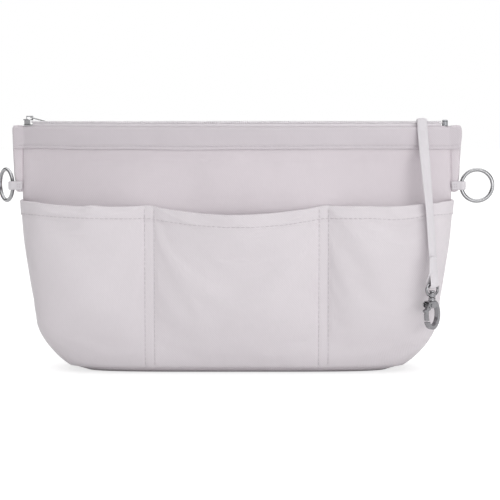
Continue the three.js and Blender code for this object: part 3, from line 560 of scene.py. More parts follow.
def cast(node, name, material, voxel, rounds):
    """A copy of a CAD node's mesh with the softened edges of a casting."""
    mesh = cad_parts[node].data.copy()
    mesh.transform(Matrix.Scale(1 / MM, 4))
    reworked(mesh, lambda work: bmesh.ops.remove_doubles(work, verts=work.verts, dist=1e-3))
    draft = linked(name + "_draft", mesh)
    remesh = draft.modifiers.new("Remesh", "REMESH")
    remesh.mode = "VOXEL"
    remesh.voxel_size = voxel
    graph = bpy.context.evaluated_depsgraph_get()
    made = bpy.data.meshes.new_from_object(draft.evaluated_get(graph))
    bpy.data.objects.remove(draft)
    axes = {"use_axis_" + axis: True for axis in "xyz"}

    def soften(work):
        for _ in range(rounds):
            bmesh.ops.smooth_vert(work, verts=work.verts, factor=0.5, **axes)

    reworked(made, soften)
    made.transform(Matrix.Scale(MM, 4))
    made.name = name
    return finish_mesh(name, made, material)


def place(obj, body, slot, *nodes):
    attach(obj, body)
    if nodes:
        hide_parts(*nodes)
    return obj


# Materials
def srgb(r, g, b):
    return [((v / 255 + 0.055) / 1.055) ** 2.4 for v in (r, g, b)] + [1.0]


class Surface:
    """A procedural material; each method adds a node and gives its output."""

    def __init__(self, name, **constants):
        self.material = bpy.data.materials.new(name)
        self.material.use_nodes = True
        self.tree = self.material.node_tree
        self.shader = self.tree.nodes["Principled BSDF"]
        for key, value in constants.items():
            self.link(key.replace("_", " ").title().replace("Ior", "IOR"), value)

    def fill(self, socket, value):
        """Links an output to a socket, or sets a constant on it."""
        if isinstance(value, bpy.types.NodeSocket):
            self.tree.links.new(value, socket)
        else:
            socket.default_value = value

    def add(self, kind, inputs=(), **settings):
        made = self.tree.nodes.new(kind)
        for name, value in settings.items():
            setattr(made, name, value)
        for key, value in dict(inputs).items():
            self.fill(made.inputs[key], value)
        return made

    def math(self, operation, a, b=0.0):
        return self.add("ShaderNodeMath", {0: a, 1: b}, operation=operation).outputs[0]

    def weighed(self, a, share_a, b, share_b):
        return self.math("ADD", self.math("MULTIPLY", a, share_a), self.math("MULTIPLY", b, share_b))

    def cloth_map(self):
        return self.add("ShaderNodeUVMap", uv_map=CLOTH_MAP).outputs["UV"]

    def object_map(self):
        return self.add("ShaderNodeTexCoord").outputs["Object"]

    def stretched(self, vector, x, y, z=1.0):
        return self.add("ShaderNodeMapping", {"Vector": vector, "Scale": (x, y, z)}).outputs["Vector"]

    def bands(self, vector, period, direction, distortion=0.0):
        inputs = {"Vector": vector, "Scale": math.pi / 10 / (period * MM), "Distortion": distortion}
        made = self.add("ShaderNodeTexWave", inputs, bands_direction=direction)
        return made.outputs["Fac"]

    def cloud(self, vector, size, detail=2.0):
        inputs = {"Vector": vector, "Scale": 1 / (size * MM), "Detail": detail}
        return self.add("ShaderNodeTexNoise", inputs).outputs["Fac"]

    def between(self, value, low, high):
        inputs = {"Value": value, "From Min": 0.25, "From Max": 0.75, "To Min": low, "To Max": high}
        return self.add("ShaderNodeMapRange", inputs).outputs["Result"]

    def blend(self, factor, a, b):
        made = self.add("ShaderNodeMix", {"Factor": factor}, data_type="RGBA")
        colours = (s for s in made.inputs if s.type == "RGBA")
        for socket, value in zip(colours, (a, b)):
            self.fill(socket, value)
        return next(s for s in made.outputs if s.type == "RGBA")

    def link(self, socket, value):
        self.fill(self.shader.inputs[socket], value)

    def tint(self, value, dark, pale):
        self.link("Base Color", self.blend(self.between(value, 0.0, 1.0), dark, pale))

    def bump(self, height, distance, strength):
        inputs = {"Height": height, "Distance": distance * MM, "Strength": strength}
        self.link("Normal", self.add("ShaderNodeBump", inputs).outputs["Normal"])


def shade(colour, amount):
    return [c * amount for c in colour[:3]] + [1.0]


def woven(name, colour, yarn, kind, roughness=0.8, sheen=0.2, relief=0.35):
    """Woven cloth: yarns with their crossings, slubs, and slow changes of tone."""
    sheens = {"sheen_weight": sheen, "sheen_roughness": 0.45}
    made = Surface(name, roughness=roughness, specular_ior_level=0.3, **sheens)
    at = made.cloth_map()
    warp = made.bands(at, yarn, "X")
    weft = made.bands(at, yarn, "Y")
    if kind == "twill":
        diagonal = made.bands(at, yarn * 2.1, "DIAGONAL", 0.25)
        height = made.weighed(diagonal, 0.6, warp, 0.3)
    elif kind == "rib":
        rib = made.bands(at, yarn * 1.6, "Y", 0.2)
        height = made.weighed(rib, 0.7, warp, 0.3)
    else:
        height = made.math("MULTIPLY", warp, weft)
    slub = made.cloud(made.stretched(at, 1.0, 0.12), yarn * 2.2)
    tone = made.cloud(at, 38.0, 3.0)
    pale = made.blend(made.between(tone, 0.0, 1.0), shade(colour, 0.965), shade(colour, 1.02))
    made.tint(made.weighed(height, 0.75, slub, 0.5), shade(colour, 0.92), pale)
    made.link("Roughness", made.between(slub, roughness - 0.08, min(1.0, roughness + 0.1)))
    made.bump(made.math("ADD", height, made.math("MULTIPLY", slub, 0.3)), yarn * 0.3, relief)
    return made.material


def plated(name, colour, roughness, scratch=0.04):
    """Plated metal with faint tarnish, and fine scratches from handling."""
    made = Surface(name, metallic=1.0)
    at = made.object_map()
    tarnish = made.cloud(at, 5.0, 4.0)
    fine = made.cloud(made.stretched(at, 1.0, 1.0, 0.15), 0.35, 3.0)
    made.tint(tarnish, shade(colour, 0.78), colour)
    wear = made.weighed(fine, 0.6, tarnish, 0.4)
    made.link("Roughness", made.between(wear, roughness - 0.06, roughness + 0.1))
    made.bump(fine, 0.02, scratch * 10)
    return made.material


def moulded(name, colour, roughness):
    """Drawn nylon: smooth, a little cloudy."""
    made = Surface(name, roughness=roughness, specular_ior_level=0.5)
    at = made.object_map()
    cloudy = made.cloud(at, 3.0, 2.0)
    made.tint(cloudy, shade(colour, 0.85), colour)
    made.link("Roughness", made.between(made.cloud(at, 0.6), roughness - 0.1, roughness + 0.12))
    made.bump(cloudy, 0.03, 0.2)
    return made.material


def sewing_thread(name, colour):
    """Plied thread: the plies twist along the stitch."""
    made = Surface(name, roughness=0.6, sheen_weight=0.15, specular_ior_level=0.4)
    at = made.cloth_map()
    ply = made.bands(at, 0.45, "DIAGONAL")
    fuzz = made.cloud(made.object_map(), 0.5, 2.0)
    mixed = made.weighed(ply, 0.7, fuzz, 0.3)
    made.tint(mixed, shade(colour, 0.78), colour)
    made.link("Roughness", made.between(fuzz, 0.5, 0.72))
    made.bump(mixed, 0.08, 0.5)
    return made.material


POCKET_CLOTH_LOOK = woven("pocket_twill", srgb(217, 211, 215), 0.38, "twill")
SHELL_CLOTH_LOOK = woven("shell_twill", srgb(213, 205, 210), 0.38, "twill")
# The hem band is the walls' own cloth, painted darker as painted shade on the band.
HEM_PAINTED_SHADE_LOOK = woven("hem_twill_painted_shade", srgb(203, 196, 201), 0.38, "twill")
LINING_LOOK = woven("lining_weave", srgb(206, 201, 205), 0.4, "plain", roughness=0.7, sheen=0.1)
BASE_LOOK = woven("base_twill", srgb(217, 211, 215), 0.6, "twill")
WEBBING_LOOK = woven("webbing", srgb(215, 211, 215), 0.5, "rib", relief=0.5)
# The zip tape is painted paler than the cloth: painted light that lifts the shade in the groove at the rim.
TAPE_PAINTED_LIGHT_LOOK = woven("zip_tape_weave_painted_light", srgb(224, 219, 223), 0.45, "rib")
THREAD_LOOK = sewing_thread("thread", srgb(205, 198, 203))
# The zip coil is painted paler too: painted light that lifts the shade among its turns and in the rim's
# groove.
COIL_PAINTED_LIGHT_LOOK = moulded("zip_coil_nylon_painted_light", srgb(236, 232, 235), 0.42)
NICKEL_LOOK = plated("nickel_plate", srgb(160, 160, 162), 0.2)
DARK_NICKEL_LOOK = plated("nickel_cast", srgb(146, 145, 148), 0.2)
STEEL_LOOK = plated("steel", srgb(140, 141, 144), 0.3)


# Walls: shell cloth over foam, soft between the pocket mouths and the rim
def wall_rows(foot, coarse, start, top, fine):
    return np.concatenate([np.linspace(foot, COARSE_TOP, coarse), np.linspace(start, top, fine)])


def spread(start, count, share=0.7):
    """Rows of stations, from each row's start to as far from the wall's other end."""
    start = start[:, None]
    return start + (1 - 2 * start) * crowd(count, share)[None]


def wall_face(z, count, depth):
    """A face of the wall from seam to seam, at one depth or a grid of depths."""
    depth = np.broadcast_to(depth, (len(z), count))
    u = spread(seam_start(z, depth[:, 0]), count)
    return layer(u, z[:, None], depth)


def wall_grid(z, columns, seam_run):
    """Heights, places on the flat cloth, and how free of the side seams its points are."""
    share = crowd(columns)
    return z[:, None], (share - 0.5) * FLAT_WIDTH, smooth(np.minimum(share, 1 - share) / seam_run)


def wall_piece(back):
    seed = 10 + 10 * back
    word = WORDS[back]
    z = wall_rows(0, 36, COARSE_TOP + 1.5, RIM_HEIGHT, 54)
    level, along, free = wall_grid(z, WALL_COLUMNS, 0.05)
    open_band = ramp(level, SOFT_FROM, 14) * (1 - ramp(level, HEM_FOOT - 9, 8))
    deep = dent(along, level, WALL_DENT, seed) + dent(along, level, WALL_FOLD, seed + 1)
    deep += dent(along, level, WALL_GATHER, seed + 2) * ramp(level, HEM_FOOT - 21, 18)
    sunk = deep * open_band * free
    foam = lerp(FOAM_BACK, 1.0, ramp(level, RIM_HEIGHT - 13, 6))
    outer = wall_face(z, WALL_COLUMNS, sunk)
    inner = wall_face(z, WALL_COLUMNS, foam + 0.4 * sunk)
    flat = coords(along, level)
    obj = cloth_between(outer, inner, flat, back, word + "_wall", SHELL_CLOTH_LOOK)
    place(obj, "pouch", "shell_cloth", word + "_shell", word + "_foam")


# Outer pockets
POCKET_START = seam_start(LEVELS, -(2 * GAP + POCKET_CLOTH))
STITCH_STATIONS = [station_at(x, LEVELS) for x in (-POCKET_STITCH_X, POCKET_STITCH_X)]


def pocket_edges(z):
    start = np.interp(z, LEVELS, POCKET_START)
    left, right = (np.interp(z, LEVELS, s) for s in STITCH_STATIONS)
    return np.stack([start, left, right, 1 - start])


def mouth_height(pocket, local):
    sag = 4 * local * (1 - local)
    middle = POCKET_TOP - MOUTH_DROP - MIDDLE_SAG * sag
    from_seam = np.where(pocket == 0, local, 1 - local)
    slip = MOUTH_SLIP * (1 - from_seam) ** 2
    return np.where(pocket == 1, middle, POCKET_TOP - MOUTH_DROP * from_seam - SIDE_SAG * sag - slip)


def pocket_point(pocket, local, z, lift, full_share):
    edges = pocket_edges(z)
    low = np.choose(pocket, edges[:3])
    high = np.choose(pocket, edges[1:])
    u = lerp(low, high, local)
    bulge = np.where(pocket == 1, MIDDLE_BULGE, SIDE_BULGE) * ramp(z, POCKET_FOOT, BULGE_RISE)
    off = 2 * GAP + lift
    sewn = layer(u, z, -off)
    full = layer(u, z, -off, POCKET_PINCH_SHARE)
    full[..., 1] -= bulge
    return lerp(sewn, full, full_share[..., None])


SETTLE_FRAMES = 26
SETTLE_SCALE = 0.01  # the cloth settles at ten times its size, where the solver is steadier
SETTLE_SHARE = 0.42  # the padded cloth takes this share of the folds
SETTLE_CAP = 4.0
SETTLING = {
    "quality": 8,
    "mass": 0.3,
    "air_damping": 2.0,
    "tension_stiffness": 25.0,
    "compression_stiffness": 25.0,
    "shear_stiffness": 12.0,
    "bending_stiffness": 1.5,
    "tension_damping": 15.0,
    "compression_damping": 15.0,
    "shear_damping": 10.0,
}
SETTLE_GRAVITY = 0.12


def settled(points, held, slack):
    """Lets a cloth with some slack sag between its held points, by a short cloth simulation."""
    rows, columns = points.shape[:2]
    mesh = bpy.data.meshes.new("settling")
    faces = quads(np.arange(rows * columns).reshape(rows, columns))
    mesh.from_pydata((points.reshape(-1, 3) * SETTLE_SCALE).tolist(), [], faces.tolist())
    obj = linked("settling", mesh)
    group = obj.vertex_groups.new(name="held")
    group.add(np.flatnonzero(held.ravel()).tolist(), 1.0, "REPLACE")
    modifier = obj.modifiers.new("Cloth", "CLOTH")
    cloth = modifier.settings
    for name, value in SETTLING.items():
        setattr(cloth, name, value)
    cloth.vertex_group_mass = "held"
    cloth.shrink_min = -slack
    cloth.effector_weights.gravity = SETTLE_GRAVITY
    modifier.collision_settings.use_collision = False
    modifier.point_cache.frame_start = 1
    modifier.point_cache.frame_end = SETTLE_FRAMES
    for step in range(1, SETTLE_FRAMES + 1):
        scene.frame_set(step)
    graph = bpy.context.evaluated_depsgraph_get()
    moved = np.empty(rows * columns * 3, np.float32)
    obj.evaluated_get(graph).data.vertices.foreach_get("co", moved)
    bpy.data.objects.remove(obj)
    scene.frame_set(1)
    change = moved.reshape(points.shape) / SETTLE_SCALE - points
    size = np.linalg.norm(change, axis=-1, keepdims=True)
    return points + change * SETTLE_SHARE * np.minimum(1, SETTLE_CAP / np.maximum(size, 1e-6))


def pocket_columns():
    side = crowd(SIDE_COLUMNS)
    middle = crowd(MIDDLE_COLUMNS)
    pocket = np.repeat([0, 1, 2], [len(side) - 1, len(middle) - 1, len(side)])
    return pocket, np.concatenate([side[:-1], middle[:-1], side])


def strap_room(x, free):
    """How far the front pocket may move outwards, which is nothing under the key strap."""
    return lerp(free, 0.0, ramp(x, STRAP_CLEAR_X, STRAP_CLEAR_RUN))


def pocket_piece(back):
    seed = 30 + 10 * back
    word = WORDS[back]
    pocket, local = pocket_columns()
    t = crowd_up(POCKET_ROWS, 0.55)[:, None]
    mouth = mouth_height(pocket, local)
    z = lerp(POCKET_FOOT, POCKET_TOP, t) - (POCKET_TOP - mouth) * t**3
    # flat between the two stitch lines of a pair, full between the pairs
    left = np.where(pocket == 0, 0.0, PAIR_SHARE)
    right = np.where(pocket == 2, 0.0, PAIR_SHARE)
    inside = np.clip((local - left) / (1 - left - right), 0, 1)
    pillow = 1 - np.abs(2 * inside - 1) ** PILLOW_POWER
    below = mouth - z
    hem = smooth((MOUTH_HEM + 0.7 - below) / HEM_STEP)
    face = pocket_point(pocket, local, z, POCKET_CLOTH, pillow)
    x = face[..., 0]
    # soft swells, gathers at the foot, puckers beside the stitch lines, a rolled mouth
    from_line = np.abs(np.abs(x) - POCKET_STITCH_X)
    push = fold(x, z, POCKET_SWELL, seed) + fold(x + FOLD_SLANT * z, z, POCKET_FOLD, seed + 1)
    push += fold(x, z, POCKET_GATHER, seed + 2) * np.exp(-(z - POCKET_FOOT) / GATHER_REACH)
    push += fold(x, z, POCKET_PUCKER, seed + 3) * np.exp(-from_line / PUCKER_REACH)
    push += fold(x, z, POCKET_ROLL, seed + 4) * np.exp(-below / ROLL_REACH)
    push = (push - POCKET_EASE) * pillow
    if not back:
        push = np.minimum(push, strap_room(x, PUSH_LIMIT))
    face[..., 1] = np.minimum(face[..., 1] - push, -SEAM_GAP / 2)
    held = (from_line < STITCH_PAIR + 0.4) | (z < POCKET_FOOT + 0.5)
    held[:, [0, -1]] = True
    start = face.copy()
    face = settled(face, held, POCKET_SLACK)
    # it may lie no deeper than the wall behind it, nor push out under the key strap
    wall_y = pocket_point(pocket, local, z, 0.6, np.zeros(z.shape))[..., 1]
    face[..., 1] = np.minimum(face[..., 1], np.minimum(wall_y, -SEAM_GAP / 2))
    face[..., 0] = np.clip(face[..., 0], start[..., 0].min(1)[:, None], start[..., 0].max(1)[:, None])
    if not back:
        face[..., 1] = np.maximum(face[..., 1], start[..., 1] - strap_room(x, SETTLE_LIMIT))
    x = face[..., 0]
    from_line = np.abs(np.abs(x) - POCKET_STITCH_X)
    groove = bell(from_line - STITCH_PAIR, 0.7) + 0.6 * bell(below - MOUTH_HEM + MOUTH_STITCH, 0.6)
    normal = grid_normals(face)
    outer = face + normal * (0.6 * hem - GROOVE_DEPTH * groove)[..., None]
    inner = face - normal * 0.8
    flat = coords((local + pocket) * FLAT_WIDTH / 3, z)
    cloth = cloth_between(outer, inner, flat, back, word + "_pocket_cloth", POCKET_CLOTH_LOOK)
    place(cloth, "pouch", "shell_cloth", word + "_pockets")

    # Thread: the two stitch pairs, and a line under each mouth
    rows = np.arange(z.shape[0], dtype=float)
    columns = np.arange(z.shape[1], dtype=float)
    thread = Shape()
    for line_x in [s * POCKET_STITCH_X + d for s in (-1, 1) for d in (-STITCH_PAIR, STITCH_PAIR)]:
        at = np.array([np.interp(line_x, row[:, 0], columns) for row in outer])
        thread.sew(outer, normal, rows, at, back)
    down = MOUTH_HEM - MOUTH_STITCH
    at = np.array([np.interp(down, column[::-1], rows[::-1]) for column in below.T])
    thread.sew(outer, normal, at, columns, back)
    sewn = place(thread.build(word + "_pocket_stitching", THREAD_LOOK), "pouch", "shell_cloth")


# Lining, inner pockets and base
def lining_piece(back):
    seed = 50 + 10 * back
    word = WORDS[back]
    z = wall_rows(BASE_LINING_TOP + 0.1, 30, COARSE_TOP + 3, RIM_HEIGHT - 0.6, 34)
    level, along, free = wall_grid(z, LINING_COLUMNS, 0.06)
    drawn = ramp(level, RIM_HEIGHT - 10, 8)  # sewn to the tape at the rim
    depth = lerp(LINING_DEPTH, TAPE_DEPTH + TAPE_CLOTH + 0.15, drawn)
    puff = dent(along, level, LINING_PUFF, seed) + dent(along, level, LINING_FOLD, seed + 1)
    depth = depth + puff * ramp(level, SOFT_FROM, 16) * (1 - drawn) * free
    face = wall_face(z, LINING_COLUMNS, depth + LINING_FACE - LINING_DEPTH)
    rear = wall_face(z, LINING_COLUMNS, depth)
    flat = coords(along, level)
    obj = cloth_between(face, rear, flat, back, word + "_lining_cloth", LINING_LOOK)
    place(obj, "pouch", "lining_cloth", word + "_lining")


def inner_pocket_piece(back):
    seed = 70 + 10 * back
    word = WORDS[back]
    z = lerp(INNER_FOOT, INNER_TOP, crowd_up(INNER_ROWS, 0.5))
    half = crowd(INNER_COLUMNS) / 2
    across = np.concatenate([half[:-1], 0.5 + half])
    pocket = np.minimum(1, np.floor(across * 2 + 1e-9))
    local = across * 2 - pocket
    edges = (-INNER_HALF_WIDTH, 0.0, INNER_HALF_WIDTH)
    left, middle, right = (station_at(x, z)[:, None] for x in edges)
    u = lerp(np.where(pocket == 0, left, middle), np.where(pocket == 0, middle, right), local)
    level = z[:, None]
    pillow = 1 - np.abs(2 * local - 1) ** PILLOW_POWER
    along = (u - 0.5) * FLAT_WIDTH
    soft = fold(along, level, INNER_SWELL, seed) + fold(along, level, INNER_FOLD, seed + 1)
    bulge = INNER_BULGE * ramp(level, INNER_FOOT, BULGE_RISE)
    depth = LINING_FACE + 3 * GAP + (bulge + soft) * pillow
    below = INNER_TOP - level
    hem = smooth((MOUTH_HEM - below) / HEM_STEP)
    groove = 0.2 * bell(below - MOUTH_HEM + INNER_STITCH, 0.6)
    face = layer(u, level, depth + INNER_CLOTH + 0.4 * hem - groove)
    rear = layer(u, level, depth)
    flat = coords(along, level)
    cloth = cloth_between(face, rear, flat, back, word + "_inner_pocket_cloth", LINING_LOOK)
    place(cloth, "pouch", "lining_cloth", word + "_inner_pockets")
    normal = -grid_normals(face)
    rows = np.arange(len(z), dtype=float)
    columns = np.arange(len(across), dtype=float)
    thread = Shape()
    for column in (1.2, np.interp(0.5, across, columns), len(columns) - 2.2):
        thread.sew(face, normal, rows, column, back, radius=FINE_THREAD)
    for row in (np.interp(INNER_TOP - MOUTH_HEM + INNER_STITCH, z, rows), 1.5):
        thread.sew(face, normal, row, columns, back, radius=FINE_THREAD)
    sewn = place(thread.build(word + "_inner_pocket_stitching", THREAD_LOOK), "pouch", "lining_cloth")


def base_piece(name, look, slot, *nodes, bottom, top, depth, seed):
    """A cloth over the base's outline, faintly uneven."""
    u = np.linspace(0.004, 0.996, 120)
    foot = layer(u, 0.0, depth)
    x = foot[:, 0]
    y = np.linspace(-1, 1, 40)[:, None] * np.maximum(np.abs(foot[:, 1]) - 2 * GAP, 0.2)
    uneven = dent(x, y, BASE_UNEVEN, seed)
    inset_x = x * (1 - 2 * GAP / BASE_HALF_WIDTH)
    upper = coords(inset_x, y, top - uneven)
    lower = coords(inset_x, y, bottom + uneven)
    obj = Shape().slab(lower[:, ::-1], upper[:, ::-1], coords(x, y)).build(name, look)
    place(obj, "pouch", slot, *nodes)
    return obj


# Rim hems and bound side seams
def hem_piece(back):
    seed = 90 + 10 * back
    word = WORDS[back]
    z = HEM_FOOT + (RIM_HEIGHT - HEM_FOOT) * crowd(HEM_ROWS, 0.6)
    faces = []
    for lift in (HEM_CLOTH, 0.0):
        off = GAP + lift
        u = spread(binding_meets(z, off), HEM_COLUMNS, 0.5)
        body = layer(u, z[:, None], -off)
        body[..., 2] = z[:, None]
        run = np.linspace(1, 0, 9)[None, :-1, None]
        corner = coords(-binding_edge(z), body[:, 0, 1], z)[:, None]
        left = lerp(body[:, :1], corner, run)
        right = left[:, ::-1] * np.array([-1.0, 1.0, 1.0])
        faces.append(np.concatenate([left, body, right], 1))
    outer, inner = faces
    x = outer[..., 0]
    level = outer[..., 2].copy()
    # a soft band: puckers above its stitch line, a rolled top, a lower edge that isn't quite straight
    pucker = fold(x, level, HEM_PUCKER, seed) + fold(x, level, HEM_FOLD, seed + 1)
    middle = np.sin(np.pi * np.clip((level - HEM_FOOT - 2) / (RIM_HEIGHT - HEM_FOOT - 2), 0, 1))
    roll = np.clip((level - RIM_HEIGHT + HEM_ROLL) / HEM_ROLL, 0, 1)
    rolled = ROLL_DEPTH * (1 - np.sqrt(1 - roll**2))
    groove = GROOVE_DEPTH * bell(level - HEM_FOOT - HEM_STITCH, 0.5)
    outer[..., 1] += rolled + groove - np.maximum(0, (0.5 + pucker) * middle)
    waver = fold(x, 0.0, HEM_WAVER, seed + 2) * (1 - ramp(level, HEM_FOOT, 8))
    for face in (outer, inner):
        face[..., 2] += waver
    flat = coords(x, level)
    cloth = cloth_between(outer, inner, flat, back, word + "_hem_band", HEM_PAINTED_SHADE_LOOK, 0.6)
    place(cloth, "pouch", "hem_cloth", word + "_hem")
    row = np.interp(HEM_FOOT + HEM_STITCH, z, np.arange(len(z), dtype=float))
    columns = np.arange(3, outer.shape[1] - 3, dtype=float)
    thread = Shape().sew(outer, grid_normals(outer), row, columns, back)
    sewn = place(thread.build(word + "_hem_stitching", THREAD_LOOK), "pouch", "hem_cloth")


def binding_piece(word, side):
    z = np.linspace(TAB_BOTTOM, RIM_HEIGHT - 0.2, 60)[:, None]
    across = crowd(9, 0.5)[None]
    edge = binding_edge(z) - 0.35 + fold(z, 0.0, BINDING_WAVER, 110 + side)
    x = side * lerp(half_width(z) + GAP, edge, across)
    half = BINDING_FACE * (0.8 + 0.2 * np.sin(np.pi * across))
    front = coords(x, -half, z)
    shape = Shape().slab(front, turned(front, True), coords(x, z), 0.55)
    obj = shape.build("side_binding_cloth_" + word, SHELL_CLOTH_LOOK)
    place(obj, "pouch", "shell_cloth", "side_binding_" + word)


# Zip
def tape_piece(back):
    word = WORDS[back]
    z = np.linspace(TAPE_FOOT, TAPE_TOP, 14)[:, None]
    wall_z = np.minimum(z, RIM_HEIGHT)
    u = spread(station_at(-TAPE_END_X, wall_z[:, 0]), TAPE_COLUMNS, 0.5)
    faces = []
    for depth in (TAPE_DEPTH, TAPE_DEPTH + TAPE_CLOTH):
        face = layer(u, wall_z, depth)
        face[..., 2] = z
        faces.append(face)
    flat = coords((u - 0.5) * FLAT_WIDTH, z)
    obj = cloth_between(*faces, flat, back, "zip_tape_cloth_" + word, TAPE_PAINTED_LIGHT_LOOK)
    place(obj, "pouch", "zip_tape", "zip_tape_" + word)


COIL_START = float(bisect((), 0, 0.3, lambda u: layer(u, RIM_HEIGHT, COIL_DEPTH)[..., 1] > -COIL_APART))


def coil_piece(back):
    word = WORDS[back]
    line = layer(np.linspace(COIL_START, 1 - COIL_START, COIL_SAMPLES), RIM_HEIGHT, COIL_DEPTH)
    line[:, 2] = COIL_Z
    line = turned(line, back)
    travelled = lengths(line)
    turns = int(travelled[-1] / COIL_PITCH)
    centre = resampled(line, turns * COIL_STEPS + 1)
    side = unit(np.cross(unit(np.gradient(centre, axis=0)), UP))
    angle = np.linspace(0, 2 * np.pi * turns, len(centre))[:, None]
    radial = side * np.cos(angle) + UP * np.sin(angle)
    shape = Shape().tube(centre + COIL_RADIUS * radial, radial, COIL_WIRE, 6)
    shape.tube(line[::8], UP, COIL_CORE, 6)
    obj = shape.build("zip_coil_wound_" + word, COIL_PAINTED_LIGHT_LOOK)
    place(obj, "pouch", "zip_coil", "zip_coil_" + word)


def end_stop_piece():
    """A metal clip folded over the tapes' ends, with two crimp marks across it."""
    low, high = (np.array(corner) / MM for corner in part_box("zip_end_stop"))
    along = np.linspace(-1, 1, 49)[:, None]
    crimps = bell(np.abs(along) - CRIMP_PLACE, CRIMP_WIDTH)
    size = 1 - 0.32 * np.abs(along) ** 6 - CRIMP_DEPTH * crimps
    turn = np.linspace(0, 2 * np.pi, 64, endpoint=False)[None]
    c, s = np.cos(turn), np.sin(turn)
    squareness = np.where(s > 0, 0.6, 0.25)
    across = size * np.sign(c) * np.abs(c) ** squareness
    up = np.where(s > 0, size, 1.0) * np.sign(s) * np.abs(s) ** squareness
    ball = coords(along, across, up)
    clip = Shape().rings((low + high) / 2 + ball * (high - low) / 2)
    place(clip.build("zip_end_stop_crimped", STEEL_LOOK), "pouch", "nickel", "zip_end_stop")


# Ring tabs and rings
RING_AXIS_X = float(half_width(TAB_HEIGHT)) + BINDING_AT_TAB + 2 * GAP + TAB_LOOP_RADIUS
TAB_LENGTH = 23.0  # along its cloth
TAB_SEAMS = (4, 8, TAB_POINTS - 5, TAB_POINTS - 9)  # points at which it is sewn
RING_JOINT = 0.14  # the wire's ends meet in a butt joint, this much thinner, inside the tab


def tab_path(z, lift):
    off = 2 * GAP + lift
    root = layer(1 - binding_meets(z, off), z, -off).reshape(1, 3)
    root[:, 2] = z
    radius = TAB_LOOP_RADIUS + lift
    opening = math.pi - math.asin((BINDING_FACE + off) / radius)
    angle = np.linspace(-opening, opening, 36)
    loop = coords(RING_AXIS_X + radius * np.cos(angle), radius * np.sin(angle), z)
    line = np.concatenate([root, loop, turned(root, True)])
    return smoothed(resampled(line, TAB_POINTS), 3)


def tab_piece(word, side):
    z = np.linspace(TAB_BOTTOM + TAB_CLOTH / 2, TAB_TOP - TAB_CLOTH / 2, 9)
    faces = []
    for lift in (TAB_CLOTH, 0.0):
        face = np.stack([tab_path(level, lift) for level in z])
        face[..., 0] *= side
        faces.append(face)
    outer, inner = faces
    flat = coords(np.linspace(0, TAB_LENGTH, TAB_POINTS), z[:, None])
    obj = Shape().slab(outer, inner, flat, edge=0.3).build("ring_tab_webbing_" + word, WEBBING_LOOK)
    place(obj, "pouch", "webbing", "ring_tab_" + word)
    rows = np.linspace(0.6, 7.4, 40)
    thread = Shape()
    normal = grid_normals(outer) * side
    for column in TAB_SEAMS:
        thread.sew(outer, normal, rows, column, length=1.3, gap=0.4, radius=FINE_THREAD)
    place(thread.build("ring_tab_stitching_" + word, THREAD_LOOK), "pouch", "webbing")


def ring_piece(word, side):
    turn = np.linspace(0, 2 * np.pi, RING_POINTS, endpoint=False)
    out = side * RING_RADIUS * (1 + np.cos(turn))
    swing = math.radians(-LEFT_RING_TURN) if side < 0 else 0.0
    c, s = math.cos(swing), math.sin(swing)
    ring = coords(side * RING_AXIS_X + out * c, out * s, TAB_HEIGHT + RING_RADIUS * np.sin(turn))
    wire = RING_WIRE - RING_JOINT * (np.arange(RING_POINTS) == RING_POINTS // 2)
    shape = Shape().tube(ring, np.array([-s, c, 0.0]), wire, 20, closed=True)
    obj = shape.build("ring_wire_" + word, NICKEL_LOOK)
    place(obj, word + "_ring", "nickel", "ring_" + word)


# Key strap: one ribbon from inside the lining, over the rim and down to its loop
def strap_line():
    depth = LINING_FACE + 3 * GAP + STRAP_CLOTH / 2
    x = STRAP_PIVOT[0]
    buried_z = RIM_HEIGHT - STRAP_INSIDE * np.array([1.0, 0.8, 0.6, 0.4, 0.25, 0.0])
    buried = layer(station_at(x, buried_z, depth), buried_z, depth)
    buried[:, 2] = buried_z
    coil = layer(station_at(x, RIM_HEIGHT, COIL_DEPTH), RIM_HEIGHT, COIL_DEPTH)
    a = np.radians(np.linspace(20, 160, 5))
    over_radius = COIL_RADIUS + COIL_WIRE + 3 * GAP + STRAP_CLOTH / 2
    over = [[x, coil[1] + over_radius * math.cos(t), COIL_Z + over_radius * math.sin(t)] for t in a]
    outside = np.array([[x, STRAP_PIVOT[1], RIM_HEIGHT + 0.6], STRAP_PIVOT, STRAP_EDGE, STRAP_END])
    end_turn = math.radians(STRAP_TURN_END)
    out = np.array([math.sin(end_turn), -math.cos(end_turn), 0.0])
    bar = np.array(STRAP_END) - out * LOOP_RADIUS
    round_bar = np.radians(np.linspace(15, 180, 12))[:, None]
    loop = bar + LOOP_RADIUS * (out * np.cos(round_bar) - UP * np.sin(round_bar))
    tail_out = LOOP_RADIUS - STRAP_CLOTH - GAP
    rise = np.array([0.35, 0.7, 1.0])[:, None]
    back = bar + out * lerp(-LOOP_RADIUS, tail_out, smooth(rise)) + UP * LOOP_JOIN * rise
    tail = (bar + out * tail_out + UP * (LOOP_JOIN + STRAP_TAIL))[None]
    line = np.concatenate([buried, over, outside, loop, back, tail])
    return smoothed(resampled(line, STRAP_POINTS), 10), bar, out


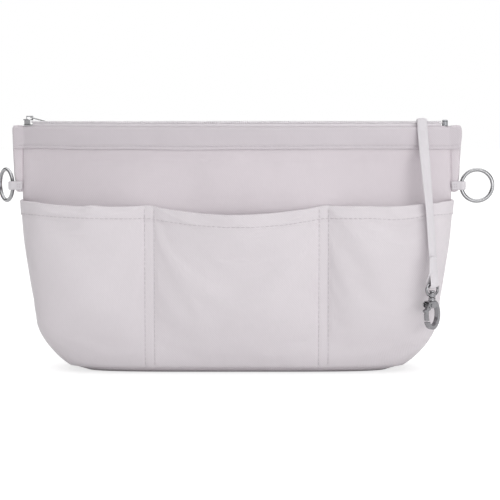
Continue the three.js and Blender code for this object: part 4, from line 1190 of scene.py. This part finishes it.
def strap_piece():
    line, bar, out = strap_line()
    travelled = lengths(line)
    begin, end = (int(np.argmin(np.linalg.norm(line - p, axis=1))) for p in (STRAP_PIVOT, STRAP_END))
    drop = np.clip((travelled - travelled[begin]) / (travelled[end] - travelled[begin]), 0, 1)
    turn = np.radians(lerp(STRAP_TURN_TOP, STRAP_TURN_END, smooth(drop / STRAP_TURN_SHARE)))
    width = coords(np.cos(turn), np.sin(turn), 0)
    across = np.linspace(-1, 1, 11)
    # plump in the middle, pressed thin at the sewn edges
    pressed = 0.85 * np.abs(across) ** 3 + 0.25 * bell(np.abs(across) - 0.72, 0.12)
    plump = STRAP_CLOTH / 2 * (1.25 - pressed)
    centre = line[:, None] + width[:, None] * across[:, None] * STRAP_WIDTH / 2
    normal = np.broadcast_to(unit(np.cross(width, np.gradient(line, axis=0)))[:, None], centre.shape)
    outer = centre + normal * plump[:, None]
    inner = centre - normal * plump[:, None]
    flat = coords(across * STRAP_WIDTH / 2, travelled[:, None])
    # the stretch sewn inside stays with the pouch, and the rest is a piece of its own from where it leaves
    # the rim
    parted = int(np.argmin(np.abs(line[: line[:, 2].argmax(), 2] - RIM_HEIGHT)))
    inside = Shape().slab(outer[: parted + 1], inner[: parted + 1], flat[: parted + 1])
    place(inside.build("key_strap_anchor_webbing", WEBBING_LOOK), "pouch", "webbing", "key_strap_anchor")
    outside = Shape().slab(outer[parted:], inner[parted:], flat[parted:])
    obj = outside.build("key_strap_webbing", WEBBING_LOOK)
    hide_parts("key_strap")
    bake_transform(obj)
    # thread: a line along each edge below the bend, and a bar tack that closes the loop
    first = begin + int(np.searchsorted(travelled[begin:] - travelled[begin], 6.0))
    thread = Shape()
    rows = np.arange(first, end - 2, dtype=float)
    for column in (1.4, 8.6):
        thread.sew(outer, normal, rows, column, length=2.2, radius=0.17)
    tack = (bar[2] + LOOP_JOIN + 7, bar[2] + LOOP_JOIN + 1)
    high, low = (int(np.searchsorted(-line[:end, 2], -level)) for level in tack)
    columns = np.linspace(2.2, 7.8, 12)
    for row in np.linspace(high, low, 6):
        thread.sew(outer, normal, row, columns, length=1.4, gap=0.3, radius=0.19)
    place(thread.build("key_strap_stitching", THREAD_LOOK), "strap", "webbing")
    return bar, out


def spring_piece(bar, out):
    along = np.array([-out[1], out[0], 0.0])
    t = np.linspace(0, 1, SPRING_TURNS * 28 + 1)[:, None]
    a = 2 * np.pi * SPRING_TURNS * t
    x, y, z = SPRING_PLACE
    radial = along * np.cos(a) + UP * np.sin(a)
    centre = bar + along * x + UP * z - out * (y + (t - 0.5) * SPRING_TURNS * SPRING_PITCH)
    shape = Shape().tube(centre + SPRING_RADIUS * radial, radial, SPRING_WIRE, 8)
    obj = shape.build("clasp_gate_spring_wire", STEEL_LOOK)
    place(obj, "hook", "steel", "clasp_gate_spring")


for is_back in (False, True):
    wall_piece(is_back)
    pocket_piece(is_back)
    lining_piece(is_back)
    inner_pocket_piece(is_back)
    hem_piece(is_back)
    tape_piece(is_back)
    coil_piece(is_back)
for side_word, side_sign in (("left", -1), ("right", 1)):
    binding_piece(side_word, side_sign)
    tab_piece(side_word, side_sign)
    ring_piece(side_word, side_sign)
place_of_base = {"bottom": 0.0, "top": BASE_TOP, "depth": 1.0, "seed": 120}
base = base_piece("base_cloth", BASE_LOOK, "shell_cloth", "base_panel", "base_board", **place_of_base)
place_of_lining = {"bottom": BASE_LINING_FOOT, "top": BASE_LINING_TOP, "depth": LINING_FACE, "seed": 121}
base_lining = base_piece("base_lining_cloth", LINING_LOOK, "lining_cloth", "base_lining", **place_of_lining)
bar_place, strap_out = strap_piece()
spring_piece(bar_place, strap_out)

# Cast pieces: node, name, look, grain of the mesh, rounds of softening, body
CASTINGS = [
    ("zip_slider", "zip_slider_cast", NICKEL_LOOK, 0.1, 6, "slider"),
    ("zip_pull", "zip_pull_stamped", NICKEL_LOOK, 0.1, 5, "pull"),
    ("clasp_eye", "clasp_eye_cast", DARK_NICKEL_LOOK, 0.13, 10, "eye"),
    ("clasp_hook", "clasp_hook_cast", DARK_NICKEL_LOOK, 0.13, 10, "hook"),
    ("clasp_gate", "clasp_gate_cast", DARK_NICKEL_LOOK, 0.12, 8, "gate"),
]
end_stop_piece()
for node, name, look, voxel, rounds, body in CASTINGS:
    place(cast(node, name, look, voxel, rounds), body, "nickel", node)
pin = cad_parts["clasp_gate_pin"]
pin.data.materials.clear()
pin.data.materials.append(STEEL_LOOK)


# Stage: a white floor, soft light, and grey studio walls that only the metal sees
FLOOR_HALF = 6.0
FLOOR_COLOUR = 0.9
FLOOR_SEEN_COLOUR = 0.42  # the camera sees a paler shadow, as on a bright studio sweep
FLOOR_SEEN_GLOW = 0.72  # and the unshaded floor comes up to white
FLOOR_DROP = 0.0003
WALL_DISTANCE = 3.0
WALL_FOOT = 0.5
WALL_HEIGHT = 2.2
WALL_GREY = 0.2
SKY_LIGHT = 0.36
LAMP_DISTANCE = 1.3


def stage_plane(name, corners, surface):
    mesh = bpy.data.meshes.new(name)
    mesh.from_pydata(corners, [], [(0, 1, 2, 3)])
    mesh.materials.append(surface)
    obj = linked(name, mesh)
    return obj


def grey(level):
    return (level, level, level, 1.0)


def seen_directly(tree):
    """1 for the camera's own rays and for mirrored and refracted ones, else 0."""
    path = tree.nodes.new("ShaderNodeLightPath")
    seen = path.outputs["Is Camera Ray"]
    for other in ("Is Glossy Ray", "Is Transmission Ray"):
        joined = tree.nodes.new("ShaderNodeMath")
        joined.operation = "MAXIMUM"
        tree.links.new(seen, joined.inputs[0])
        tree.links.new(path.outputs[other], joined.inputs[1])
        seen = joined.outputs[0]
    return seen


def square(half):
    return [(-half, -half), (half, -half), (half, half), (-half, half)]


floor_look = Surface("floor", roughness=1.0, specular_ior_level=0.0, emission_color=grey(1.0))
floor_seen = seen_directly(floor_look.tree)
floor_look.link("Emission Strength", floor_look.math("MULTIPLY", floor_seen, FLOOR_SEEN_GLOW))
floor_look.link("Base Color", floor_look.blend(floor_seen, grey(FLOOR_COLOUR), grey(FLOOR_SEEN_COLOUR)))
stage_plane("floor", [(x, y, -FLOOR_DROP) for x, y in square(FLOOR_HALF)], floor_look.material)
room_look = Surface("studio_wall", base_color=grey(WALL_GREY), roughness=1.0, specular_ior_level=0.0)
room_corners = square(WALL_DISTANCE)
for k in range(4):
    near, far = room_corners[k], room_corners[(k + 1) % 4]
    corners = [(*near, WALL_FOOT), (*far, WALL_FOOT), (*far, WALL_HEIGHT), (*near, WALL_HEIGHT)]
    card = stage_plane("studio_wall_%d" % k, corners, room_look.material)
    card.visible_camera = False
    card.visible_diffuse = False
    card.visible_shadow = False

world = bpy.data.worlds.new("studio")
scene.world = world
world.use_nodes = True
nodes = world.node_tree.nodes
links = world.node_tree.links
sky = nodes["Background"]
sky.inputs["Strength"].default_value = SKY_LIGHT
white = nodes.new("ShaderNodeBackground")
for background in (sky, white):
    background.inputs["Color"].default_value = grey(1.0)
mixed = nodes.new("ShaderNodeMixShader")
links.new(seen_directly(world.node_tree), mixed.inputs["Fac"])
links.new(sky.outputs[0], mixed.inputs[1])
links.new(white.outputs[0], mixed.inputs[2])
links.new(mixed.outputs[0], nodes["World Output"].inputs["Surface"])


def lamp(name, kind, azimuth, elevation, energy):
    """A lamp that shines on the middle of the pouch from a direction and, but for a sun, a distance."""
    light = bpy.data.lights.new(name, kind)
    light.energy = energy
    obj = linked(name, light)
    a, e = math.radians(azimuth), math.radians(elevation)
    towards = Vector((math.sin(a) * math.cos(e), -math.cos(a) * math.cos(e), math.sin(e)))
    obj.location = Vector((0.0, 0.0, RIM_HEIGHT * MM / 2)) + towards * LAMP_DISTANCE
    obj.rotation_euler = towards.to_track_quat("Z", "Y").to_euler()
    obj.visible_camera = False
    return light


key = lamp("key", "AREA", azimuth=28, elevation=9, energy=6.2)
key.shape = "RECTANGLE"
key.size = 1.3
key.size_y = 0.45
back_light = lamp("back", "SUN", azimuth=188, elevation=50, energy=1.5)
back_light.angle = math.radians(80)
top_light = lamp("top", "SUN", azimuth=10, elevation=72, energy=1.0)
top_light.angle = math.radians(60)

# Camera
PHOTO_SIZE = 500
PHOTO_SCALE = 1.455  # pixels per millimetre at the pouch
DISTANCE = 1100.0
ELEVATION = 5.0
AIM = (8.9, 0.0, 80.6)
lens = bpy.data.cameras.new("camera")
lens.sensor_width = 36.0
lens.sensor_fit = "HORIZONTAL"
lens.lens = PHOTO_SCALE * lens.sensor_width * DISTANCE / PHOTO_SIZE
lens.clip_end = 50.0
camera = linked("camera", lens)
rise = math.radians(ELEVATION)
offset = Vector((0.0, -math.cos(rise), math.sin(rise)))
camera.location = (Vector(AIM) + offset * DISTANCE) * MM
camera.rotation_euler = offset.to_track_quat("Z", "Y").to_euler()
scene.camera = camera
scene.view_settings.view_transform = "Standard"
